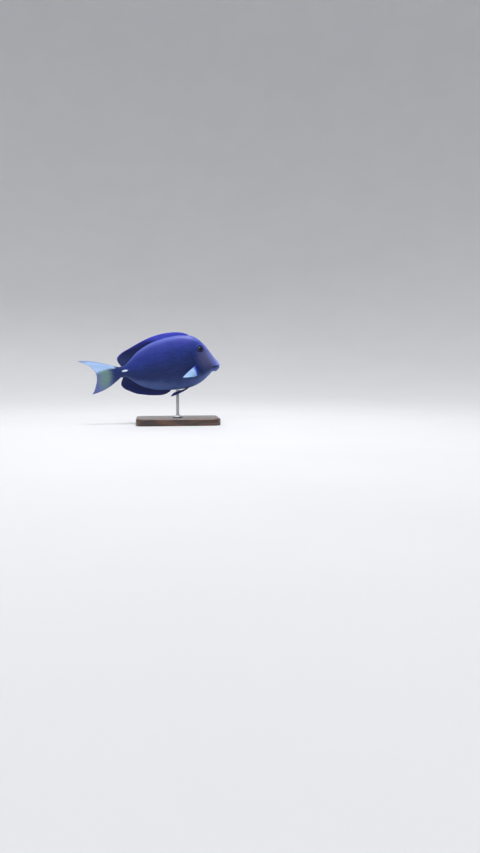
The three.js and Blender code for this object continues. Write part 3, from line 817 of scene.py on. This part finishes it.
class Recipe:
    """A material under construction: a Principled surface and the nodes that feed it."""

    def __init__(self, name, **constants):
        self.material = bpy.data.materials.new(name)
        self.material.use_nodes = True
        self.tree = self.material.node_tree
        self.surface = self.tree.nodes["Principled BSDF"]
        self.feed(self.surface, {key.replace("_", " "): value for key, value in constants.items()})

    @staticmethod
    def find(sockets, key):
        """A node's socket by its number, identifier or name."""
        if isinstance(key, int):
            return sockets[key]
        return next(s for s in sockets if key in (s.identifier, s.name) and s.enabled)

    def feed(self, node, sockets):
        for key, value in sockets.items():
            socket = self.find(node.inputs, key)
            if isinstance(value, Socket):
                self.tree.links.new(value.link, socket)
            elif hasattr(value, "__len__") and socket.type == "RGBA":
                socket.default_value = (*value, 1)
            else:
                socket.default_value = value

    def node(self, kind, settings, sockets, output=0):
        made = self.tree.nodes.new(kind)
        for key, value in settings.items():
            setattr(made, key, value)
        self.feed(made, sockets)
        return Socket(self, self.find(made.outputs, output))

    def attribute(self, name, output="Vector"):
        return self.node("ShaderNodeAttribute", {"attribute_name": name}, {}, output)

    def object_place(self):
        return self.node("ShaderNodeTexCoord", {}, {}, "Object")

    def split(self, vector):
        return [self.node("ShaderNodeSeparateXYZ", {}, {"Vector": vector}, axis) for axis in "XYZ"]

    def join(self, x, y, z):
        return self.node("ShaderNodeCombineXYZ", {}, {"X": x, "Y": y, "Z": z})

    def noise(self, vector, scale, detail=2.0, roughness=0.5):
        """Noise from 0 to 1, with one scale or one for each axis."""
        if isinstance(scale, tuple):
            vector = self.node("ShaderNodeMapping", {}, {"Vector": vector, "Scale": scale})
            scale = 1
        sockets = {"Vector": vector, "Scale": scale, "Detail": detail, "Roughness": roughness}
        return self.node("ShaderNodeTexNoise", {}, sockets, "Fac")

    def cells(self, vector, scale, feature="F1", output="Distance"):
        sockets = {"Vector": vector, "Scale": scale}
        return self.node("ShaderNodeTexVoronoi", {"feature": feature}, sockets, output)

    def layers(self, tone, *coats):
        """Lays each coat's colour over the tone, by its share from 0 to 1."""
        for share, colour in coats:
            settings = {"data_type": "RGBA", "clamp_factor": True}
            sockets = {"Factor_Float": share, "A_Color": tone, "B_Color": colour}
            tone = self.node("ShaderNodeMix", settings, sockets, "Result_Color")
        return tone

    def finish(self, colour, roughness, coat, *bumps):
        """Feeds the surface. Bumps are a height of 0 to 1, its depth in millimetres and its strength."""
        self.feed(self.surface, {"Base Color": colour, "Roughness": roughness, "Coat Weight": coat})
        if bumps:
            height, deep, strength = bumps
            sockets = {"Height": height, "Strength": strength, "Distance": deep / 1000}
            self.feed(self.surface, {"Normal": self.node("ShaderNodeBump", {}, sockets, "Normal")})
        return self.material


def spread_from(x, z, middle, size=(1, 1)):
    """The square of the distance from a middle in the side view, in shares of a size."""
    return ((x - middle[0]) / size[0]) ** 2 + ((z - middle[1]) / size[1]) ** 2


def body_coats(paint, colours, place, level, patches):
    """Slate flanks, a violet-blue back partly of painted light from above, thin wavy lines, and a painted
    highlight along the top of the back, each with its share.
    """
    x = paint.split(place)[0]
    uneven = level + (patches - 0.5) * 0.45
    wander = paint.noise(place, (5, 5, 16))
    jitter = paint.noise(place, (24, 24, 70), 2, 0.6)
    breaks = paint.noise(place, (14, 8, 60))
    wave = (level * 150 + wander * 34 + jitter * 5).sine()
    lined = (x - 0.92).ramp(0, -0.14) * abs(level).ramp(1.0, 0.9) * 0.24
    # Painted highlight: a lighter line along the top of the back, by the dorsal fin's base.
    top_edge_highlight = level.ramp(0.8, 0.97) * x.ramp(0.8, 0.55) * x.ramp(0.02, 0.1)
    return (
        (uneven.ramp(-1.0, -0.5), colours.flank),
        ((uneven - x * 0.5).ramp(-0.45, 0.35) * x.ramp(0.95, 0.75), colours.shoulder_band),
        # The back's violet blue, lighter partly as painted light from above.
        (uneven.ramp(0.35, 0.98) * (0.45 + 0.55 * x.ramp(0.1, 0.6)), colours.back),
        (wave.ramp(0.0, 0.95) * breaks.ramp(0.3, 0.7) * lined, colours.line),
        (wave.ramp(0.0, -0.95) * breaks.ramp(0.75, 0.35) * lined, colours.fold),
        # Painted highlight along the top of the back.
        (top_edge_highlight * 0.4, colours.snout),
    )


def head_coats(colours, x, z, level, patches):
    """A painted pink reflection on the cheek, a darker brow, and a lilac nape, face, snout, jaw and throat,
    each with its share.
    """
    above_slit = z - MOUTH.level
    cheek = spread_from(x, z, (0.892, -0.012), (0.115, 0.13)) + (patches - 0.5)
    brow = (z - 0.12 + (x - 0.828) * 0.2).ramp(-0.012, 0.05) * x.ramp(0.81, 0.85)
    nape = level.ramp(0.75, 0.95) * x.ramp(0.69, 0.75) * x.ramp(0.85, 0.81)
    face = (x * 1.72 + z - 1.6).ramp(-0.03, 0.035) * x.ramp(0.8, 0.88)
    snout = (x + z * 0.3).ramp(0.86, 0.955) * above_slit.ramp(0.0, 0.02)
    lip = (x + z * 0.35 - 0.94).ramp(-0.012, 0.02) * above_slit.ramp(-0.004, 0.004)
    jaw = x.ramp(0.925, 0.965) * above_slit.ramp(0.006, -0.004)
    throat = level.ramp(-0.7, -0.95) * x.ramp(0.6, 0.85)
    return (
        # Painted pink-lilac reflection on the cheek.
        (cheek.ramp(1.5, -0.5) * 0.62, colours.cheek),
        (brow * 0.45, colours.shoulder_band),
        (nape * 0.4, colours.snout),
        (face * 0.2, colours.snout),
        (snout * 0.65, colours.snout),
        (lip * 0.8, colours.lip),
        (jaw * 0.4, colours.snout),
        (throat * 0.25, colours.snout),
    )


def mark_coats(colours, x, z, fold):
    """Fin roots, and painted shade at the eye rims, in the folds and in the nostrils, each with its share.
    """
    fin_root = spread_from(x, z, (0.756, SHOULDER.z), (0.014, 0.056))
    from_eye = spread_from(x, z, (EYE.x, EYE.z)) ** 0.5
    pits = [
        (spread_from(x, z, (middle_x, middle_z)) ** 0.5).ramp(radius * 1.1, radius * 0.6)
        for middle_x, middle_z, radius in NOSTRILS
    ]
    return (
        (fin_root.ramp(1.4, 0.2) * 0.9, colours.shoulder),
        (x.ramp(0.15, -0.03) * 0.95, colours.tail_root),
        # Painted shade where the skin meets the eye's rim.
        (from_eye.band(EYE.radius, 0.005) * 0.35, colours.fold),
        # Painted shade in the mouth slit, gill fold, eye socket, cheek fold, pores and spine slot.
        (fold * 0.85, colours.fold),
        # Painted shade in the nostrils.
        *((pit * 0.9, colours.fold) for pit in pits),
    )


def skin_paint(form, colours):
    """Blue skin with its patches, lines and marks, painted light on back and belly, painted shade in the
    folds, and a grain of fine scales.
    """
    paint = Recipe("painted_skin", IOR=1.36, Specular_IOR_Level=0.32, Coat_Roughness=0.22)
    place = paint.attribute("place")
    level = paint.attribute("level", "Fac")
    fold = paint.attribute("fold", "Fac")
    x, _, z = paint.split(place)
    patches = paint.noise(place, 7, 3)
    scales_across = form.length / form.scale_size
    scales = paint.cells(place, scales_across, "SMOOTH_F1")
    each_scale = paint.cells(place, scales_across, output="Color")
    grey = paint.node("ShaderNodeRGBToBW", {}, {"Color": each_scale}, "Val")
    tone = paint.layers(
        # The belly's blue grey, lighter than the flanks partly as painted light.
        colours.belly,
        *body_coats(paint, colours, place, level, patches),
        *head_coats(colours, x, z, level, patches),
        *mark_coats(colours, x, z, fold),
        (grey * 0.16, BLACK),
    )
    fine = paint.noise(place, 420, 3)
    roughness = 0.36 + patches * 0.1 + fine * 0.08 + fold * 0.2
    return paint.finish(tone, roughness, 0.12 - fold * 0.12, (1 - scales) * 0.75 + fine * 0.25, 0.3, 0.6)


def jointed(phase, ray, v, starts, ends):
    """The joints of the soft rays, from where they start to show along v."""
    return phase.sine().ramp(0.5, 1) * ray * v.ramp(starts, ends)


def fin_paint(name, colours, band=0.9, rim=0.85, front=0.9, lobe=0.4, stripes=3.0):
    """A dark membrane with faint stripes and paler rays. Its outer band, rim, front and rear lobe are
    lighter, each by its own share; the dorsal fin's large outer band is partly painted light from above."""
    paint = Recipe(name, IOR=1.36, Specular_IOR_Level=0.28, Coat_Roughness=0.3)
    u, v, ray = paint.split(paint.attribute("fin"))
    cloudy = paint.noise(paint.object_place(), 90, 3)
    wander = paint.noise(paint.join(u * 10, v * 2, 0.0), 1)
    striped = ((v * stripes + wander * 0.5) * TAU).sine().ramp(0.1, 0.9) * v.ramp(0.1, 0.4)
    # Outer band: on the dorsal fin, partly painted light from above.
    outer = (v + (wander - 0.5) * 0.3).ramp(0.3, 0.75) * u.ramp(0.85, 0.4)
    bright_rim = (0.5 + 0.5 * u.ramp(0.6, 0.4)) * rim
    tone = paint.layers(
        colours.fin,
        (outer * band + striped * 0.12, colours.fin_stripe),
        (u.ramp(0.53, 0.36) * front * (0.8 + v * 0.2), colours.fin_front),
        (u.ramp(0.7, 0.95) * lobe, colours.fin_lobe),
        (ray * 0.2, colours.fin_stripe),
        (v.ramp(0.88, 0.96) * bright_rim, colours.fin_edge),
        (v.ramp(0.975, 0.995) * 0.4 * bright_rim, colours.lip),
        (cloudy.ramp(0.45, 0.8) * 0.2, colours.fold),
    )
    height = cloudy * 0.5 + (1 - jointed(v * 150 + wander * 4, ray, v, 0.3, 0.6)) * 0.5
    return paint.finish(tone, 0.36 + cloudy * 0.16, 0.06, height, 0.1, 0.4)


def tail_paint(colours):
    """Blue grey at the root, then pale yellow green, with a painted highlight of the light from above on
    the upper lobe and a thin lilac rim.
    """
    paint = Recipe("painted_tail_fin", IOR=1.36, Specular_IOR_Level=0.4, Coat_Roughness=0.3)
    u, v, ray = paint.split(paint.attribute("fin"))
    cloudy = paint.noise(paint.object_place(), 70, 3)
    ragged = paint.noise(paint.join(u * 40, v * 3, 0.0), 1)
    softened = v + (cloudy - 0.5) * 0.1 + (ragged - 0.5) * 0.2
    lower_tip = (u * v + (cloudy - 0.5) * 0.1).ramp(0.55, 0.85)
    # Mask of the painted highlight on the upper lobe, where the light from above glares on it.
    upper = (v ** 0.4 * 0.46 + (cloudy - 0.5) * 0.05 - u).ramp(-0.04, 0.06) * v.ramp(0.06, 0.2)
    rim = u.ramp(0.03, 0.005) + v.ramp(0.955, 0.99) * 0.5 + u.ramp(0.97, 0.995) * 0.5
    tone = paint.layers(
        colours.tail_root,
        (softened.ramp(0.27, 0.56), colours.tail_pale),
        (u.ramp(0.72, 0.98) * v.ramp(0.2, 0.5) * 0.4, colours.tail_edge),
        (lower_tip * 0.85, colours.tail_edge),
        (v.ramp(0.74, 0.97) * 0.7, colours.tail_edge),
        # Painted highlight on the upper lobe.
        (upper, colours.tail_lobe_highlight),
        ((v - u * 2).ramp(0.62, 1.0) * 0.45, colours.tail_edge),
        (rim * v.ramp(0.1, 0.3) * 0.6, colours.tail_edge),
        (ray * v.ramp(0.15, 0.5) * 0.22, colours.scalpel),
        ((1 - ray) * v.ramp(0.2, 0.4) * 0.12, colours.fin),
    )
    height = cloudy * 0.4 + (1 - jointed(v * 190 + cloudy * 5, ray, v, 0.25, 0.5)) * 0.6
    return paint.finish(tone, 0.36 + cloudy * 0.14, 0.1, height, 0.1, 0.4)


def pectoral_paint(colours):
    """Pale blue white, partly painted highlight, with painted shade towards its lower part, and a deep blue
    root and leading edge.
    """
    paint = Recipe("painted_pectoral_fin", IOR=1.36, Specular_IOR_Level=0.4, Coat_Roughness=0.3)
    u, v, ray = paint.split(paint.attribute("fin"))
    cloudy = paint.noise(paint.object_place(), 90, 3)
    softened = v + (cloudy - 0.5) * 0.06 + u * 0.05
    tone = paint.layers(
        colours.shoulder,
        # Pale blue white, brightened by painted highlight of the light from above.
        (softened.ramp(0.12, 0.32), colours.pectoral),
        (u.ramp(0.03, 0.0) * 0.7, colours.fin_edge),
        # Painted shade towards the lower rays, and bluer membrane between the rays.
        (u.ramp(0.3, 1.0) * 0.6 + (1 - ray) * v.ramp(0.3, 0.6) * 0.22, colours.pectoral_shade),
    )
    height = cloudy * 0.4 + (1 - jointed(v * 120 + cloudy * 4, ray, v, 0.3, 0.5)) * 0.6
    return paint.finish(tone, 0.34 + cloudy * 0.14, 0.25, height, 0.08, 0.4)


def eye_paint(colours):
    """A black pupil in a thin pale ring, and a dark iris with fine streaks, painted shadow of the brow on
    its upper part and painted shade at its rim, under a clear gloss.
    """
    paint = Recipe("glazed_eye", IOR=1.4, Coat_Roughness=0.03, Specular_IOR_Level=0.1)
    a, b, _ = paint.split(paint.attribute("disc"))
    a = a - 0.06
    away = (a * a * 0.78 + b * b) ** 0.5
    around = paint.node("ShaderNodeMath", {"operation": "ARCTAN2"}, {0: b, 1: a})
    streaks = paint.noise(paint.join(around * 6, away * 2, 0.0), 1, 3, 0.7)
    pupil = away.ramp(0.52, 0.49)
    tone = paint.layers(
        colours.iris,
        (streaks.ramp(0.35, 0.7) * 0.4, colours.tail_root),
        # Darker upper iris: painted shadow of the brow, and partly a dark band through the eye.
        (b.ramp(0.3, 0.8) * 0.6, colours.fold),
        # Painted shade at the eyeball's rim, where it sinks into the socket.
        (away.ramp(0.75, 0.98) * 0.5, colours.fold),
        (away.band(0.54, 0.04) * 0.16, colours.eye_ring),
        (pupil, colours.pupil),
    )
    return paint.finish(tone, 0.3 + streaks * (1 - pupil) * 0.1, 0.25)


def scalpel_paint(colours):
    """Smooth ivory, faintly blue towards its root."""
    paint = Recipe("ivory_spine", IOR=1.5, Coat_Roughness=0.12)
    ahead = paint.split(paint.attribute("spine"))[2]
    cloudy = paint.noise(paint.object_place(), (260, 260, 1040), 3)
    tone = paint.layers(
        colours.scalpel,
        (ahead.ramp(-0.6, -1.0) * 0.5, colours.tail_edge),
        (cloudy.ramp(0.5, 0.8) * 0.12, colours.tail_pale),
    )
    return paint.finish(tone, 0.26 + cloudy * 0.1, 0.5, cloudy, 0.03, 0.2)


def wood_paint(stand):
    """Dark hardwood: long wandering grain with fine pores, under a satin varnish."""
    paint = Recipe("varnished_hardwood", IOR=1.5, Coat_Roughness=0.14)
    place = paint.object_place()
    _, y, z = paint.split(place)
    bent = paint.noise(place, (6, 22, 22), 3)
    rings = (y * 640 + z * 260 + bent * 30).sine() * 0.5 + 0.5
    fibres = paint.noise(place, (45, 900, 900), 4, 0.65)
    pores = paint.noise(place, (120, 2600, 2600)).ramp(0.62, 0.72)
    grain = rings * 0.3 + fibres * 0.45 + bent * 0.25
    tone = paint.layers(
        stand.wood_dark, (grain.ramp(0.25, 0.75), stand.wood_light), (pores * 0.5, stand.wood_pores)
    )
    height = fibres * 0.5 - pores * 0.5 + 0.5
    return paint.finish(tone, 0.3 + fibres * 0.16, 0.55, height, 0.06, 0.35)


def steel_paint(stand):
    """Steel brushed round the rod, with fine rings and a slight uneven sheen."""
    paint = Recipe("brushed_rod_steel", Metallic=1.0)
    place = paint.object_place()
    brushed = paint.noise(place, (60, 60, 6000), 3, 0.7)
    worn = paint.noise(place, 60)
    tone = paint.layers(stand.steel, (brushed.ramp(0.3, 0.8) * 0.35, stand.steel_dark))
    return paint.finish(tone, 0.2 + brushed * 0.18 + worn * 0.08, 0.0, brushed, 0.03, 0.3)


def floor_paint(stage):
    """Pale, matt, faintly mottled board."""
    paint = Recipe("pale_floor")
    mottled = paint.noise(paint.object_place(), 6, 4)
    tone = paint.layers(stage.floor, (mottled.ramp(0.3, 0.7) * 0.06, stage.floor_mottle))
    return paint.finish(tone, 0.75 + mottled * 0.1, 0.0, mottled, 0.1, 0.1)


class TANG_OT_skin(bpy.types.Operator):
    """Build the one skin that covers the head, jaw, torso and tail stalk"""
    bl_idname = "tang.skin"
    bl_label = "Skin"

    def execute(self, context):
        form, colours = context.scene.tang_form, context.scene.tang_colours
        nodes = ("head", "lower_jaw", "torso", "tail_stalk")
        finish_piece("skin", skin_mesh(form), skin_paint(form, colours), "skin", *nodes)
        return {"FINISHED"}


class TANG_OT_midline_fins(bpy.types.Operator):
    """Build the dorsal and anal fins, with their spines and forking rays"""
    bl_idname = "tang.midline_fins"
    bl_label = "Dorsal and anal fins"

    def execute(self, context):
        form, colours = context.scene.tang_form, context.scene.tang_colours
        # The dorsal fin takes a large share of the lighter outer band, partly painted light from above; the
        # anal fin below takes a small one.
        upper = fin_paint("painted_dorsal_fin", colours)
        lower = fin_paint("painted_anal_fin", colours, band=0.1, rim=0.25, front=0, lobe=0.08)
        for name, fin, edge, sign, paint in (
            ("dorsal_fin", DORSAL, back, 1, upper), ("anal_fin", ANAL, belly, -1, lower),
        ):
            count = fin.spines + fin.rays
            place = midline_place(fin, edge, sign)
            mesh = fin_mesh(form, place, count, 8, 26, spines=fin.spines)
            finish_piece(f"rayed_{name}", mesh, paint, "fin", name)
        return {"FINISHED"}


class TANG_OT_tail_fin(bpy.types.Operator):
    """Build the tail fin as one sickle-shaped sheet"""
    bl_idname = "tang.tail_fin"
    bl_label = "Tail fin"

    def execute(self, context):
        build = {"root": 0.0095, "web": 0.0028, "ridge": 0.003, "fork": 0.35, "emerge": 0.4}
        mesh = fin_mesh(context.scene.tang_form, tail_place, TAIL_RAYS, 12, 44, **build)
        paint = tail_paint(context.scene.tang_colours)
        finish_piece("rayed_tail_fin", mesh, paint, "tail_fin", "tail_fin_upper", "tail_fin_lower")
        return {"FINISHED"}


class TANG_OT_paired_fins(bpy.types.Operator):
    """Build the pectoral and pelvic fins of both sides"""
    bl_idname = "tang.paired_fins"
    bl_label = "Pectoral and pelvic fins"

    def execute(self, context):
        form, colours = context.scene.tang_form, context.scene.tang_colours
        pale = pectoral_paint(colours)
        dark = fin_paint("painted_pelvic_fin", colours, band=0.1, rim=0.1, front=0, lobe=0, stripes=1.5)
        build = {"spines": 1, "root": 0.008, "web": 0.0024, "ridge": 0.003, "fork": 0.4, "emerge": 0.25}
        for name, side in SIDES.items():
            mesh = fin_mesh(form, pectoral_place(side), PECTORAL.rays, 10, 34, web=0.0026, emerge=0.35)
            finish_piece(f"rayed_pectoral_fin_{name}", mesh, pale, "pale_fin", f"pectoral_fin_{name}")
            mesh = fin_mesh(form, pelvic_place(side), PELVIC.rays, 12, 34, **build)
            finish_piece(f"rayed_pelvic_fin_{name}", mesh, dark, "fin", f"pelvic_fin_{name}")
        return {"FINISHED"}


class TANG_OT_eyes(bpy.types.Operator):
    """Build both eyeballs, set in their sockets"""
    bl_idname = "tang.eyes"
    bl_label = "Eyes"

    def execute(self, context):
        form = context.scene.tang_form
        paint = eye_paint(context.scene.tang_colours)
        for name, side in SIDES.items():
            finish_piece(f"glazed_eye_{name}", eye_mesh(form, side), paint, "eye", f"eye_{name}")
        return {"FINISHED"}


class TANG_OT_scalpels(bpy.types.Operator):
    """Build the two white spines that lie folded on the tail stalk"""
    bl_idname = "tang.scalpels"
    bl_label = "Tail spines"

    def execute(self, context):
        form = context.scene.tang_form
        paint = scalpel_paint(context.scene.tang_colours)
        for name, side in SIDES.items():
            mesh = scalpel_mesh(form, side)
            finish_piece(f"ivory_scalpel_{name}", mesh, paint, "scalpel", f"scalpel_{name}")
        return {"FINISHED"}


class TANG_OT_stand(bpy.types.Operator):
    """Build the wooden base and the turned steel rod"""
    bl_idname = "tang.stand"
    bl_label = "Display stand"

    def execute(self, context):
        stand = context.scene.tang_stand
        finish_piece("wooden_base", base_mesh(stand), wood_paint(stand), "stand_wood", "stand_base")
        finish_piece("turned_rod", rod_mesh(), steel_paint(stand), "stand_steel", "stand_rod")
        return {"FINISHED"}


def floor_mesh():
    """A disc that curves up into a wall all round."""
    flat, bend, high, steps = 0.7, 2.6, 4.6, 20
    turns = [math.pi / 2 * step / steps for step in range(steps + 1)]
    curve = [(flat + bend * math.sin(turn), bend * (1 - math.cos(turn))) for turn in turns]
    return revolved([(0, 0), *curve, (flat + bend, high)], 96)


def area_light(name, power, size, place, colour):
    """A round, soft light that faces the fish."""
    light = bpy.data.lights.new(name, "AREA")
    light.energy = power
    light.shape = "DISK"
    light.size = size
    light.color = colour
    lamp = bpy.data.objects.new(name, light)
    lamp.location = place
    lamp.rotation_euler = (LIT_SPOT - Vector(place)).to_track_quat("-Z", "Y").to_euler()
    bpy.context.scene.collection.objects.link(lamp)


def add_camera(scene, stage):
    """A camera square to the fish's side, with the photograph's angle of view."""
    photo_high, focal_length = 853, 678
    camera = bpy.data.objects.new("camera", bpy.data.cameras.new("camera"))
    scene.collection.objects.link(camera)
    scene.camera = camera
    camera.data.sensor_width = 36
    camera.data.lens = camera.data.sensor_width * focal_length / photo_high
    camera.data.clip_start = 0.02
    middle = to_world(scene.tang_form)(Vector((0.31, 0, 0)))
    camera.location = middle - Vector((0, stage.distance, 0))
    camera.rotation_euler = (math.pi / 2 - stage.dipped, 0, -stage.turned)


class TANG_OT_stage(bpy.types.Operator):
    """Set the pale floor, the soft lights and the camera"""
    bl_idname = "tang.stage"
    bl_label = "Floor, light and camera"

    def execute(self, context):
        stage = context.scene.tang_stage
        floor = add_object("floor", floor_mesh(), floor_paint(stage))
        area_light("key", stage.key_power, 0.6, (0.1, -0.25, 1.5), (0.98, 0.99, 1.0))
        area_light("fill", stage.fill_power, 1.0, (-0.9, -1.3, 1.5), (0.96, 0.98, 1.0))
        area_light("far", stage.far_power, 1.0, (-0.3, 1.1, 1.3), (1.0, 0.98, 0.96))
        world = bpy.data.worlds.new("studio")
        world.use_nodes = True
        sky = world.node_tree.nodes["Background"].inputs
        sky["Color"].default_value = (0.96, 0.98, 1, 1)
        sky["Strength"].default_value = stage.sky
        context.scene.world = world
        context.scene.view_settings.view_transform = "Standard"
        add_camera(context.scene, stage)
        return {"FINISHED"}


class TANG_PT_panel(bpy.types.Panel):
    """The model's pieces and settings"""
    bl_idname = "TANG_PT_panel"
    bl_label = "Blue tang"
    bl_space_type = "VIEW_3D"
    bl_region_type = "UI"
    bl_category = "Blue tang"

    def draw(self, context):
        scene = context.scene
        for group in GROUPS:
            box = self.layout.box()
            for key in GROUPS[group].__annotations__:
                box.prop(getattr(scene, group), key)
        for operator in OPERATORS:
            self.layout.operator(operator.bl_idname)


OPERATORS = (
    TANG_OT_stage, TANG_OT_skin, TANG_OT_midline_fins, TANG_OT_tail_fin, TANG_OT_paired_fins,
    TANG_OT_eyes, TANG_OT_scalpels, TANG_OT_stand,
)
GROUPS = {
    "tang_form": TangForm, "tang_colours": TangColours, "tang_stand": StandLook, "tang_stage": StageLook,
}


def register():
    for cls in (*GROUPS.values(), *OPERATORS, TANG_PT_panel):
        bpy.utils.register_class(cls)
    for name, group in GROUPS.items():
        setattr(bpy.types.Scene, name, PointerProperty(type=group))


def unregister():
    for name in GROUPS:
        delattr(bpy.types.Scene, name)
    for cls in reversed((*GROUPS.values(), *OPERATORS, TANG_PT_panel)):
        bpy.utils.unregister_class(cls)


def main():
    register()
    bpy.ops.tang.stage()
    bpy.ops.tang.skin()
    bpy.ops.tang.midline_fins()
    bpy.ops.tang.tail_fin()
    bpy.ops.tang.paired_fins()
    bpy.ops.tang.eyes()
    bpy.ops.tang.scalpels()
    bpy.ops.tang.stand()


if __name__ == "__main__":
    main()
